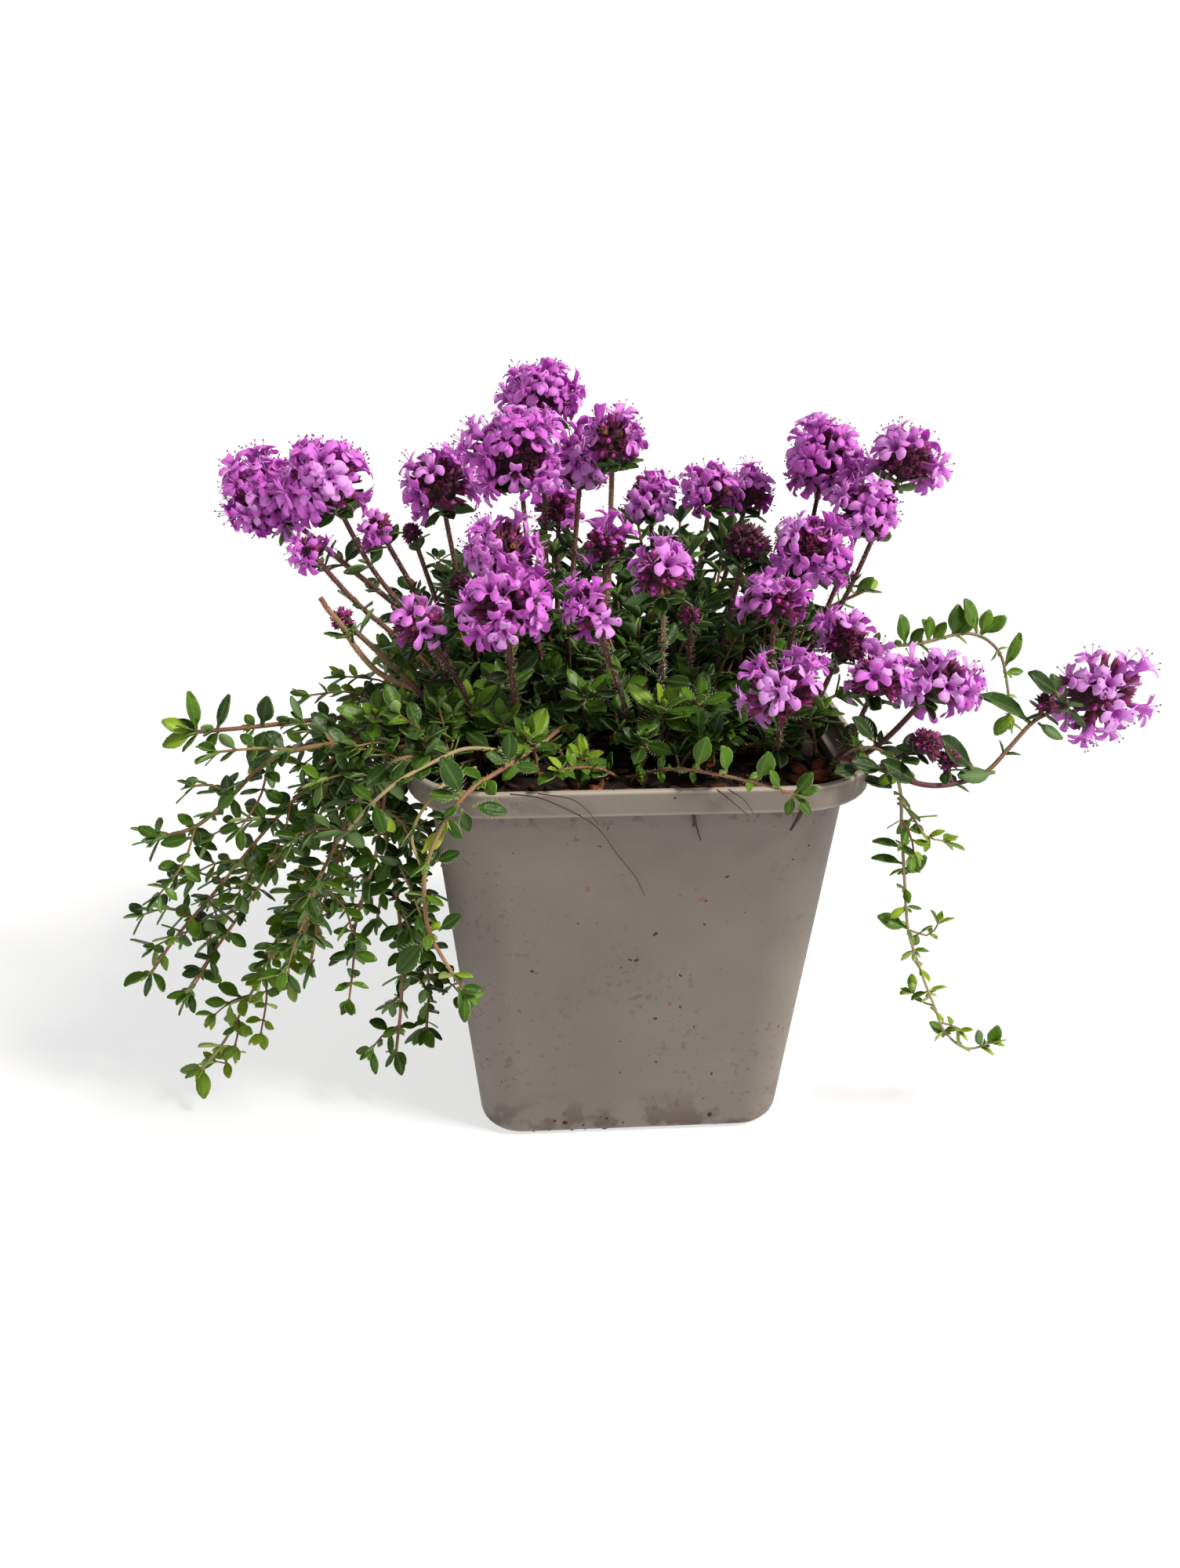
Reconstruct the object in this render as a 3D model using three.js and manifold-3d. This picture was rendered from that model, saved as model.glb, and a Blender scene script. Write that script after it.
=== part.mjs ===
// Potted creeping thyme: a square nursery pot filled with soil, and a mat of thyme
// whose stems rise to round flower heads or creep out and hang over the rim.
// Millimetres, +Z up, front towards -Y. The origin is the centre of the pot's underside.
import * as THREE from 'three';
import { mergeVertices } from 'three/addons/utils/BufferGeometryUtils.js';
import Module from 'manifold-3d';

const wasm = await Module();
wasm.setup();

// The pot: a 9 cm square nursery pot, its taper and rim read off its outline
const POT_HEIGHT = 87.5;
const RIM_HALF = 45;
const RIM_BAND = 5;
const BODY_TOP_HALF = 40.7;
const BODY_FOOT_HALF = 32.5;
const RIM_CORNER = 16;
const BODY_TOP_CORNER = 12;
const BODY_FOOT_CORNER = 9;
const FOOT_ROUND = 2;
const WALL = 1.4;
const CORNER_STEPS = 3;
const DRAIN_RADIUS = 4;
const DRAIN_OFFSET = 18;

// The soil: a lumpy top just under the rim
const SOIL_TOP = 83;
const SOIL_LUMP = 0.7;
const SOIL_RINGS = [0.7, 0.35];

// Touching pieces keep this gap, and what is set down beside another keeps it too
const GAP = 0.3;

// The plant: square stems with opposite leaves, and heads of four-lobed florets on a core
const STEM_RADIUS = 0.8;
const CREEPER_RADIUS = 0.9;
const CROWN_RADIUS = 3.5;
const CROWN_TOP = SOIL_TOP + 1.4;
const CROWN_SPREAD = 1.6;
const FEET_APART = 1.05;
const ROOT_DEPTH = 4;
const NODE_LENGTH = 1.3;
const MOST_TURN = 0.65;
const OVAL = [[0.32, 0.88], [0.72, 0.86]];
const DIAMOND = [[0.5, 1]];
const RISING = { leaf: { length: 6, width: 3.8, outline: DIAMOND }, pairStep: 18 };
const CREEPING = { leaf: { length: 8, width: 4.8, outline: OVAL }, pairStep: 13.5 };
const SHOOT = { leaf: { length: 8, width: 4.8, outline: OVAL }, pairStep: 7 };
const LEAF_THICKNESS = 0.8;
const LEAF_DROOP = 0.7;
const LEAF_LIFTS = [0.7, 0.3, 1.2];
const TIP_SHARE = 0.7;
const CORE_SHARE = 0.46;
const FLORET_CELL = 6.5;
const FLORET_COLUMNS = [8.5, 13.5];
const LOBE = { spread: 0.9, reach: [1, 1.14] };
const NOTCH = { spread: 0.5, reach: 0.94 };
const THROAT_REACH = 0.76;

const SEED = 20;

const COLOURS = {
  pot: [0x857a71, 0.55],
  soil: [0x231a15, 0.95],
  foliage: [0x3f7a2a, 0.6],
  bloom: [0xb765c4, 0.6],
};

// Every plant grows from one root in the soil, given as [x, y]. A rising stem ends in a
// flower head [x, y, z, width, height], with any bends on the way. A creeping stem is a
// list of points, and may end in a head too. Shoots are short leafy side stems.
const PLANTS = [
  {
    name: 'plant_left',
    root: [-33, -9],
    rising: [
      { head: [-70, -5, 132, 14.5, 18], bends: [[-40, -8, 104], [-56, -7, 120]] },
      { head: [-56, -15, 137, 16, 16], bends: [[-39, -11, 103], [-50, -14, 121]] },
      { head: [-61, -21, 125, 6.5, 6], bends: [[-40, -13, 100], [-53, -19, 116]] },
      { head: [-46, -11, 128, 6.5, 6], bends: [[-37, -9, 102]] },
    ],
  },
  {
    name: 'plant_front_left',
    root: [-29, -23],
    rising: [
      { head: [-55, -21, 113, 6, 5], bends: [[-41, -22, 98]] },
      { head: [-41, -24, 113, 12, 9], bends: [[-33, -22, 98]] },
    ],
    shoots: 2,
  },
  {
    name: 'plant_back_left',
    root: [-27, 9],
    rising: [
      { head: [-39, 12, 132, 15, 13] },
      { head: [-46, 18, 119, 6, 6] },
    ],
    shoots: 1,
  },
  {
    name: 'plant_centre_left',
    root: [-22, -12],
    rising: [
      { head: [-24, -14, 126, 15, 14] },
      { head: [-25, -31, 118, 17, 11] },
    ],
    shoots: 1,
  },
  {
    name: 'plant_centre',
    root: [-15, 7],
    rising: [
      { head: [-16, 17, 149, 15, 12] },
      { head: [-22, -7, 142, 19, 17] },
      { head: [-9, 11, 135, 9.5, 9] },
      { head: [-13, 27, 123, 12, 11] },
    ],
    shoots: 1,
  },
  {
    name: 'plant_middle',
    root: [-5, -3],
    rising: [
      { head: [-3, -2, 142, 13, 13] },
      { head: [-6, -15, 125, 10.5, 10] },
    ],
    shoots: 1,
  },
  {
    name: 'plant_front',
    root: [1, -13],
    rising: [
      { head: [-10, -32, 117, 8, 12], bends: [[-3, -21, 97]] },
      { head: [4, -31, 124, 13, 11], bends: [[5, -19, 97], [5, -28, 110]] },
    ],
    shoots: 2,
  },
  {
    name: 'plant_centre_right',
    root: [14, 1],
    rising: [
      { head: [24, 1, 121, 11, 10] },
      { head: [11, -12, 110, 5, 5] },
    ],
    shoots: 2,
  },
  {
    name: 'plant_back',
    root: [13, 23],
    rising: [
      { head: [7, 29, 125, 12, 10] },
      { head: [20, 23, 128, 12, 11] },
      { head: [31, 29, 125, 10, 10] },
    ],
    shoots: 1,
  },
  {
    name: 'plant_back_right',
    root: [32, 12],
    rising: [
      { head: [45, 21, 136, 17, 15] },
      { head: [60, 9, 136, 14, 14] },
      { head: [49, 4, 127, 15, 12] },
    ],
    shoots: 1,
  },
  {
    name: 'plant_right',
    root: [28, -5],
    rising: [
      { head: [36, -9, 122, 16, 14] },
      { head: [26, -21, 115, 13, 9] },
    ],
    shoots: 1,
  },
  {
    name: 'plant_front_right',
    root: [28, -21],
    rising: [
      { head: [41, -17, 106, 12, 13] },
      { head: [25, -36, 102, 17, 10] },
    ],
  },
  {
    name: 'plant_corner',
    root: [34, -30],
    rising: [
      { head: [43, -34, 104, 13, 11] },
      { head: [55, -33, 103, 13, 12] },
      { head: [50, -43, 95, 8, 8] },
    ],
    creeping: [
      {
        points: [[38, -36, 89.5], [43, -43, 90], [49, -46, 88.5], [56, -44, 87.5], [63, -41, 88.5],
          [68, -38, 92], [73, -36, 96.5]],
        head: [86, -32, 99.5, 15, 22],
      },
      {
        points: [[40, -34, 90.5], [45, -35, 90.3], [48.5, -36, 84], [50.5, -35, 74],
          [52.5, -35, 62], [55, -34, 50], [59, -33, 40], [63, -33, 31], [67, -32, 23],
          [73, -31, 18], [78, -31, 19.5]],
      },
    ],
  },
  {
    name: 'creeper_front_rim',
    root: [-10, -13],
    creeping: [
      {
        points: [[-13, -18, 89.5], [-19, -30, 91], [-26, -42, 91.5], [-32.5, -49, 89.8],
          [-37, -51, 84], [-40, -51, 76], [-40.5, -50, 68], [-40, -49, 62], [-37, -48, 54],
          [-34, -47.5, 48]],
      },
    ],
    shoots: 1,
  },
  {
    name: 'creeper_front',
    root: [-3, -27],
    creeping: [
      { points: [[1, -35, 87], [8, -42, 90], [17, -46.5, 90], [24, -49.5, 89], [27, -51, 87.5]] },
      { points: [[-8, -33, 87], [-14, -38, 89.5], [-16, -43, 91]] },
    ],
    shoots: 2,
  },
  {
    name: 'creeper_right_back',
    root: [35, 23],
    creeping: [
      {
        points: [[40, 22, 91], [46, 18, 93.5], [54, 14, 94.5], [65, 11, 96], [77, 10, 98.5],
          [83, 9, 95], [86, 8, 87], [88, 8, 78]],
      },
      { points: [[39, 27, 92], [48, 27, 99], [57, 26, 104]] },
    ],
    shoots: 1,
  },
  {
    name: 'creeper_left_high',
    root: [-34, -16],
    creeping: [
      {
        points: [[-39, -16, 90], [-46, -16, 91.5], [-53, -17, 92], [-62, -18, 92], [-74, -20, 91.5],
          [-84, -22, 91.5], [-91, -22, 94]],
      },
      {
        points: [[-39, -19, 89.5], [-45, -23, 90.3], [-52, -25, 90.5], [-60, -26, 90],
          [-70, -25, 87], [-79, -22, 78], [-87, -21, 71], [-95, -20, 68]],
      },
    ],
    shoots: 1,
  },
  {
    name: 'creeper_left_middle',
    root: [-34, 0],
    creeping: [
      {
        points: [[-39.5, -2.5, 89], [-46, -7, 90], [-53, -12, 88], [-62, -15, 80], [-74, -16, 68],
          [-86, -17, 54], [-95, -18, 44], [-101, -19, 36]],
      },
      {
        points: [[-39, 0, 90.5], [-47, -2, 90.5], [-56, -5, 85], [-66, -8, 70], [-78, -10, 52],
          [-89, -12, 37], [-96, -12, 27]],
      },
      {
        points: [[-39, 3, 90], [-45.5, 4, 90.8], [-49.5, 3, 82], [-48, -4, 62], [-46, -7, 42],
          [-44, -10, 26], [-45, -11, 14]],
      },
    ],
  },
  {
    name: 'creeper_left_low',
    root: [-34, 12],
    creeping: [
      {
        points: [[-39, 9, 90.2], [-46, 7, 91], [-54, 2, 85], [-64, -2, 68], [-71, -5, 50],
          [-77, -8, 36], [-84, -12, 23], [-90, -16, 14], [-94, -18, 10]],
      },
      {
        points: [[-39, 13, 90], [-46, 13, 91.2], [-54, 10, 82], [-62, 6, 62], [-67, 1, 44],
          [-73, -2, 29]],
      },
    ],
  },
  {
    name: 'creeper_left_front',
    root: [-34, -29],
    creeping: [
      {
        points: [[-39, -33, 89.8], [-45.5, -35.5, 90.6], [-52, -36, 84], [-58, -35, 73],
          [-63, -33, 62], [-66, -31, 52]],
      },
      {
        points: [[-39, -29, 90], [-46, -28, 91.2], [-50, -26, 80], [-48.5, -24, 60], [-48, -23, 44],
          [-49, -22, 26], [-51, -21, 9]],
      },
    ],
    shoots: 1,
  },
  {
    name: 'mat_back_left',
    root: [-24, 29],
    creeping: [
      { points: [[-33, 33, 87], [-41, 37, 90], [-49, 39, 88.5], [-54, 40, 78], [-57, 39, 66]] },
      { points: [[-26, 37, 88], [-27, 44, 90], [-28, 50, 87], [-29, 52, 76], [-31, 51, 66]] },
    ],
    shoots: 2,
  },
  {
    name: 'mat_back_right',
    root: [12, 33.5],
    creeping: [
      { points: [[20, 40, 88], [25, 46, 90], [28, 51, 86], [29, 52, 76]] },
      { points: [[2, 38, 88], [-5, 44, 90], [-8, 49, 89]] },
    ],
    shoots: 2,
  },
];

// Draws numbers from 0 to 1, the same ones every time.
function seededDraw(seed) {
  let state = seed;
  return () => {
    state = (state + 0x6d2b79f5) | 0;
    let t = Math.imul(state ^ (state >>> 15), 1 | state);
    t = (t + Math.imul(t ^ (t >>> 7), 61 | t)) ^ t;
    return ((t ^ (t >>> 14)) >>> 0) / 4294967296;
  };
}
const draw = seededDraw(SEED);
const between = (low, high) => low + (high - low) * draw();

// A closed geometry as a solid that can be joined and cut.
function solidOf(geometry) {
  const bare = geometry.clone();
  bare.deleteAttribute('normal');
  bare.deleteAttribute('uv');
  const merged = mergeVertices(bare, 1e-4);
  return new wasm.Manifold(new wasm.Mesh({
    numProp: 3,
    vertProperties: merged.attributes.position.array,
    triVerts: new Uint32Array(merged.index.array),
  }));
}

function geometryOf(solid) {
  const { vertProperties, triVerts } = solid.getMesh();
  const geometry = new THREE.BufferGeometry();
  geometry.setAttribute('position', new THREE.BufferAttribute(vertProperties, 3));
  geometry.setIndex(new THREE.BufferAttribute(triVerts, 1));
  return geometry;
}

// Moves every vertex of a geometry by a rule.
function shape(geometry, rule) {
  const place = geometry.attributes.position;
  const point = new THREE.Vector3();
  for (let i = 0; i < place.count; i++) {
    rule(point.fromBufferAttribute(place, i));
    place.setXYZ(i, point.x, point.y, point.z);
  }
  return geometry;
}

// The outline of a square with rounded corners: step k of 4 * (CORNER_STEPS + 1) round it.
function squareOutline(half, corner, k) {
  const quarter = Math.floor(k / (CORNER_STEPS + 1));
  const angle = (quarter + (k % (CORNER_STEPS + 1)) / CORNER_STEPS) * Math.PI / 2;
  const side = (turn) => Math.sign(Math.round(Math.SQRT2 * turn));
  const middle = (quarter + 0.5) * Math.PI / 2;
  return [
    side(Math.cos(middle)) * (half - corner) + corner * Math.cos(angle),
    side(Math.sin(middle)) * (half - corner) + corner * Math.sin(angle),
  ];
}

// A turned profile whose rings are squares with rounded corners.
function squareLathe(profile, cornerAt) {
  const steps = 4 * (CORNER_STEPS + 1);
  const geometry = new THREE.LatheGeometry(
    profile.map(([half, z]) => new THREE.Vector2(half, z)), steps);
  geometry.rotateX(Math.PI / 2);
  const turn = (2 * Math.PI) / steps;
  return shape(geometry, (point) => {
    const half = Math.hypot(point.x, point.y);
    if (half < 1e-6) return;
    const k = (Math.round(Math.atan2(point.y, point.x) / turn) + steps) % steps;
    const [x, y] = squareOutline(half, Math.min(half, cornerAt(half, point.z)), k);
    point.set(x, y, point.z);
  });
}

const LEDGE = POT_HEIGHT - RIM_BAND;
const bodyHalf = (z) => THREE.MathUtils.mapLinear(z, 0, LEDGE, BODY_FOOT_HALF, BODY_TOP_HALF);
const bodyCorner = (z) => THREE.MathUtils.mapLinear(z, 0, LEDGE, BODY_FOOT_CORNER, BODY_TOP_CORNER);

function potSolid() {
  const inside = (z) => bodyHalf(z) - WALL;
  const profile = [
    [0, 0], [BODY_FOOT_HALF - FOOT_ROUND, 0], [bodyHalf(FOOT_ROUND), FOOT_ROUND],
    [BODY_TOP_HALF, LEDGE], [RIM_HALF, LEDGE], [RIM_HALF, POT_HEIGHT], [RIM_HALF - WALL, POT_HEIGHT],
    [RIM_HALF - WALL, LEDGE + WALL], [inside(LEDGE), LEDGE + WALL], [inside(WALL), WALL], [0, WALL],
  ];
  const corner = (half, z) => (half > BODY_TOP_HALF + 0.1
    ? RIM_CORNER - (RIM_HALF - half)
    : bodyCorner(z) - (bodyHalf(z) - half));
  let pot = solidOf(squareLathe(profile, corner));
  for (const x of [-DRAIN_OFFSET, DRAIN_OFFSET]) {
    for (const y of [-DRAIN_OFFSET, DRAIN_OFFSET]) {
      const hole = new THREE.CylinderGeometry(DRAIN_RADIUS, DRAIN_RADIUS, 4 * WALL, 8);
      pot = pot.subtract(solidOf(hole.rotateX(Math.PI / 2).translate(x, y, 0)));
    }
  }
  return pot;
}

// The soil fills the pot, a gap clear of its walls, with a plain hole for each root.
function soilSolid(roots) {
  const fill = (z) => bodyHalf(z) - WALL - GAP;
  const floor = WALL + GAP;
  const profile = [[0, floor], [fill(floor), floor], [fill(SOIL_TOP), SOIL_TOP],
    ...SOIL_RINGS.map((share) => [share * fill(SOIL_TOP), SOIL_TOP + SOIL_LUMP]),
    [0, SOIL_TOP + SOIL_LUMP]];
  const lumpy = shape(squareLathe(profile, (half) => 0.28 * half), (point) => {
    if (point.z > SOIL_TOP) point.z += SOIL_LUMP * Math.sin(point.x * 0.9) * Math.cos(point.y * 0.7);
  });
  let soil = solidOf(lumpy);
  const bottom = SOIL_TOP - ROOT_DEPTH - GAP;
  for (const root of roots) soil = soil.subtract(crownSolid(root, CROWN_RADIUS + Math.SQRT2 * GAP, bottom));
  return soil;
}

// The square woody foot that a plant's stems grow from, standing in the soil.
function crownSolid([x, y], radius, bottom) {
  const foot = new THREE.CylinderGeometry(radius, radius, CROWN_TOP + 1 - bottom, 4);
  return solidOf(foot.rotateX(Math.PI / 2).translate(x, y, (CROWN_TOP + 1 + bottom) / 2));
}

// A closed skin put together face by face from shared points.
class Skin {
  points = [];
  faces = [];

  add(point) {
    return this.points.push(point.clone()) - 1;
  }

  quad(a, b, c, d) {
    this.faces.push([a, b, c], [a, c, d]);
  }

  fan(hub, rim, outward) {
    for (let k = 0; k + 1 < rim.length; k++) {
      this.faces.push(outward ? [hub, rim[k], rim[k + 1]] : [hub, rim[k + 1], rim[k]]);
    }
  }

  solid() {
    return new wasm.Manifold(new wasm.Mesh({
      numProp: 3,
      vertProperties: new Float32Array(this.points.flatMap((point) => point.toArray())),
      triVerts: new Uint32Array(this.faces.flat()),
    }));
  }
}

// Solids already standing, each with its box, its node and its stem if it has one.
const standing = [];

function stand(solid, node, stem) {
  standing.push({ solid, node, stem, box: solid.boundingBox() });
}

// Whether a space is free of every standing solid but those of its own.
function isClear(guard, isOwn = () => false) {
  const box = guard.boundingBox();
  const meets = (other) => [0, 1, 2].every((i) => box.min[i] < other.max[i] && other.min[i] < box.max[i]);
  return !standing.some((other) => !isOwn(other) && meets(other.box)
    && !guard.intersect(other.solid).isEmpty());
}

// The frame of a leaf on a quad of the skin: ahead along the blade, across it, and up.
function leafFrame(skin, quad, lift) {
  const [p, q, r, s] = quad.map((k) => skin.points[k]);
  const base = p.clone().add(q).add(r).add(s).divideScalar(4);
  const across = q.clone().sub(p).normalize();
  const rise = s.clone().sub(p).normalize();
  const out = across.clone().cross(rise).normalize();
  const ahead = out.addScaledVector(rise, lift).normalize();
  return { base, ahead, across, up: ahead.clone().cross(across).normalize() };
}

// A point of a blade, given its share of the length, its width and its height.
function bladePoint({ base, ahead, across, up }, length, along, width, height) {
  return base.clone().addScaledVector(ahead, length * along).addScaledVector(across, width)
    .addScaledVector(up, height - LEAF_DROOP * along ** 2);
}

// The space that a leaf needs, with a gap all round it but at its root.
function leafGuard(frame, { length, width }) {
  const lens = shape(new THREE.SphereGeometry(1, 6, 2), (point) => {
    const along = 0.6 + 0.44 * point.x;
    point.copy(bladePoint(frame, length, along, -(width / 2 + GAP) * 1.15 * point.z,
      LEAF_THICKNESS / 2 + (LEAF_THICKNESS / 2 + GAP) * point.y));
  });
  return solidOf(lens);
}

// Grows a leaf out of a quad of the skin: a blade with a ridge above and a flat back,
// whose edge runs from the quad round the outline points to the tip.
function growLeaf(skin, quad, frame, { length, width, outline }) {
  const at = (along, share, height) => skin.add(bladePoint(frame, length, along, share * width / 2, height));
  const [p, q, r, s] = quad;
  const ridge = at(0.5, 0, LEAF_THICKNESS);
  const right = outline.map(([along, share]) => at(along, share, 0));
  const left = outline.map(([along, share]) => at(along, -share, 0));
  const tip = at(1, 0, 0);
  skin.fan(ridge, [tip, ...right.toReversed(), r, s, ...left, tip], true);
  skin.fan(tip, [...right.toReversed(), q, p, ...left], false);
  skin.faces.push([right[0], q, r], [left[0], s, p]);
}

// Where the rings of a stem go: two close together at each leaf node, and between the
// nodes as many as its bends need.
function ringStops(curve, nodes) {
  const length = curve.getLength();
  const heading = (stop) => curve.getTangentAt(Math.min(1, stop / length));
  const stops = [{ at: 0 }];
  const walkTo = (next) => {
    const start = stops.at(-1).at;
    const half = (start + next) / 2;
    const bend = heading(start).angleTo(heading(half)) + heading(half).angleTo(heading(next));
    const count = Math.max(1, Math.ceil(bend / MOST_TURN));
    for (let k = 1; k <= count; k++) stops.push({ at: start + ((next - start) * k) / count });
  };
  for (const node of nodes) {
    walkTo(node - NODE_LENGTH / 2);
    stops.at(-1).isNode = true;
    stops.push({ at: node + NODE_LENGTH / 2 });
  }
  walkTo(length);
  return stops;
}

// A square stem along a smooth curve, as a skin with its rings of four points.
function stemSkin(points, radius, nodesOf) {
  const curve = new THREE.CatmullRomCurve3(points, false, 'centripetal');
  const length = curve.getLength();
  const stops = ringStops(curve, nodesOf(length));
  const skin = new Skin();
  let side = new THREE.Vector3(0.31, 0.95, 0.07);
  const rings = stops.map((stop) => {
    const share = Math.min(1, stop.at / length);
    const tangent = curve.getTangentAt(share);
    side = side.clone().addScaledVector(tangent, -side.dot(tangent)).normalize();
    const other = tangent.clone().cross(side);
    const centre = curve.getPointAt(share);
    return [1, 3, 5, 7].map((eighth) => {
      const angle = eighth * Math.PI / 4;
      return skin.add(centre.clone().addScaledVector(side, radius * Math.cos(angle))
        .addScaledVector(other, radius * Math.sin(angle)));
    });
  });
  return { skin, rings, isNode: (k) => stops[k].isNode };
}

const sideQuad = (rings, k, face) => [
  rings[k][face], rings[k][(face + 1) % 4], rings[k + 1][(face + 1) % 4], rings[k + 1][face]];

// A leaf for one quad if there is room for one at any of the lifts.
function leafThatFits(stem, quad, leaf) {
  for (const lift of LEAF_LIFTS) {
    const frame = leafFrame(stem.skin, quad, lift);
    const guard = leafGuard(frame, leaf);
    if (isClear(guard, (other) => other.stem === stem)) return { frame, guard };
  }
  return null;
}

// Closes a stem's skin, with opposite leaves at its nodes, each pair a quarter turn from
// the last, and a young leaf at its end where it has no head.
function dressStem(stem) {
  const { skin, rings, isNode, node, leaf, tip } = stem;
  let turn = 0;
  for (let k = 0; k + 1 < rings.length; k++) {
    const grown = isNode(k) ? [turn % 2, turn % 2 + 2] : [];
    if (isNode(k)) turn += 1;
    const size = resized(leaf, between(0.85, 1.15));
    for (let face = 0; face < 4; face++) {
      const quad = sideQuad(rings, k, face);
      const fit = grown.includes(face) && leafThatFits(stem, quad, size);
      if (fit) {
        growLeaf(skin, quad, fit.frame, size);
        stand(fit.guard, node);
      } else skin.quad(...quad);
    }
  }
  skin.quad(...rings[0].toReversed());
  const end = rings.at(-1);
  const young = resized(leaf, TIP_SHARE);
  const fit = tip && leafThatFits(stem, end, young);
  if (fit) growLeaf(skin, end, fit.frame, young);
  else skin.quad(...end);
  return skin.solid();
}

const resized = ({ length, width, outline }, share) =>
  ({ length: length * share, width: width * share, outline });

// The bare stem, which leaves and heads keep clear of.
function bareStem({ skin, rings }) {
  const bare = new Skin();
  bare.points = skin.points;
  for (let k = 0; k + 1 < rings.length; k++) {
    for (let face = 0; face < 4; face++) bare.quad(...sideQuad(rings, k, face));
  }
  bare.quad(...rings[0].toReversed());
  bare.quad(...rings.at(-1));
  return bare.solid();
}

// The cells of a flower head: the faces of a box, divided by the head's size and swelled
// to a ball, as lists of corner directions.
function headCells([width, height]) {
  const [across, deep] = FLORET_COLUMNS.map((from) => (width > from ? 2 : 1));
  const tiers = Math.max(1, Math.round(height / FLORET_CELL) - (across > 1 ? 1 : 0));
  const box = new THREE.BoxGeometry(1, 1, 1, across, deep, tiers);
  box.deleteAttribute('normal');
  box.deleteAttribute('uv');
  const merged = mergeVertices(box);
  const corners = Array.from({ length: merged.attributes.position.count }, (_, k) =>
    new THREE.Vector3().fromBufferAttribute(merged.attributes.position, k).normalize());
  const index = merged.index.array;
  const cells = [];
  for (let k = 0; k < index.length; k += 6) cells.push([index[k], index[k + 1], index[k + 4], index[k + 2]]);
  return { corners, cells };
}

// How far the core of a head reaches down its axis.
function coreFoot(size) {
  const { corners, cells } = headCells(size);
  const foot = cells.flat().map((k) => corners[k]).filter((corner) => corner.z < 0)
    .reduce((inmost, corner) =>
      (Math.hypot(corner.x, corner.y) < Math.hypot(inmost.x, inmost.y) ? corner : inmost));
  return -foot.z * CORE_SHARE * size[1] / 2;
}

// A flower head: a core with a four-lobed floret grown from each cell but its foot's.
function bloomSolid(centre, axis, size) {
  const [width, height] = size;
  const turn = new THREE.Quaternion().setFromUnitVectors(UP, axis)
    .multiply(new THREE.Quaternion().setFromAxisAngle(UP, between(0, Math.PI / 2)));
  const at = (direction, reach) => direction.clone().multiply(new THREE.Vector3(width, width, height))
    .multiplyScalar(reach / 2).applyQuaternion(turn).add(centre);
  const { corners, cells } = headCells(size);
  const skin = new Skin();
  const roots = corners.map((corner) => skin.add(at(corner, CORE_SHARE)));
  for (const cell of cells) {
    const ends = cell.map((k) => corners[k]);
    const middle = ends.reduce((sum, end) => sum.add(end), new THREE.Vector3()).normalize();
    const toward = (direction, spread) => middle.clone().lerp(direction, spread).normalize();
    const lobes = ends.map((end) => at(toward(end, LOBE.spread), between(...LOBE.reach)));
    const notches = ends.map((end, k) =>
      at(toward(end.clone().add(ends[(k + 1) % 4]).normalize(), NOTCH.spread), NOTCH.reach));
    const quad = cell.map((k) => roots[k]);
    if (middle.z < -0.7 || !isClear(floretGuard(quad.map((k) => skin.points[k]), lobes))) {
      skin.quad(...quad);
      continue;
    }
    growFloret(skin, quad, lobes.map((lobe) => skin.add(lobe)), notches.map((notch) => skin.add(notch)),
      skin.add(at(middle, THROAT_REACH)));
  }
  return skin.solid();
}

function growFloret(skin, quad, lobes, notches, throat) {
  for (let k = 0; k < 4; k++) {
    const next = (k + 1) % 4;
    skin.faces.push(
      [quad[k], quad[next], notches[k]], [quad[k], notches[k], lobes[k]], [quad[next], lobes[next], notches[k]],
      [throat, lobes[k], notches[k]], [throat, notches[k], lobes[next]]);
  }
}

// The space that a floret needs, from the core out past its lobes.
function floretGuard(roots, lobes) {
  const middle = lobes.reduce((sum, lobe) => sum.add(lobe), new THREE.Vector3()).divideScalar(4);
  const foot = roots.reduce((sum, root) => sum.add(root), new THREE.Vector3()).divideScalar(4);
  const out = middle.clone().sub(foot).normalize();
  const guard = new Skin();
  const inner = roots.map((root) => guard.add(root));
  const outer = lobes.map((lobe) => guard.add(lobe.clone()
    .add(lobe.clone().sub(middle).setLength(GAP)).addScaledVector(out, GAP)));
  guard.quad(...inner.toReversed());
  guard.quad(...outer);
  for (let k = 0; k < 4; k++) guard.quad(inner[k], inner[(k + 1) % 4], outer[(k + 1) % 4], outer[k]);
  return guard.solid();
}

const UP = new THREE.Vector3(0, 0, 1);
const vector = (point) => new THREE.Vector3(...point);

// The feet of a plant's stems stand round its crown in the order of their headings, far
// enough apart to stay single.
function crownFeet([x, y], firsts) {
  const heading = firsts.map((first) => Math.atan2(first.y - y, first.x - x));
  const order = heading.map((_, k) => k).sort((a, b) => heading[a] - heading[b]);
  const angles = [];
  for (const k of order) angles.push(Math.max(heading[k], (angles.at(-1) ?? -Infinity) + FEET_APART));
  const pushed = (angles.at(-1) - heading[order.at(-1)]) / 2;
  const feet = [];
  order.forEach((k, turn) => {
    const angle = angles[turn] - pushed;
    feet[k] = new THREE.Vector3(
      x + CROWN_SPREAD * Math.cos(angle), y + CROWN_SPREAD * Math.sin(angle), CROWN_TOP);
  });
  return feet;
}

// A stem that bears a head stops a gap short of the head's core.
function stemEnd(centre, before, size) {
  const axis = centre.clone().sub(before).normalize();
  return { axis, end: centre.clone().addScaledVector(axis, -coreFoot(size) - GAP) };
}

// Leaf nodes counted from the top down, which leaves the foot of the stem bare.
const nodesFromTop = (step) => (length) => {
  const nodes = [];
  for (let at = length - 3; at > 9; at -= step) nodes.unshift(at);
  return nodes;
};

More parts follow.
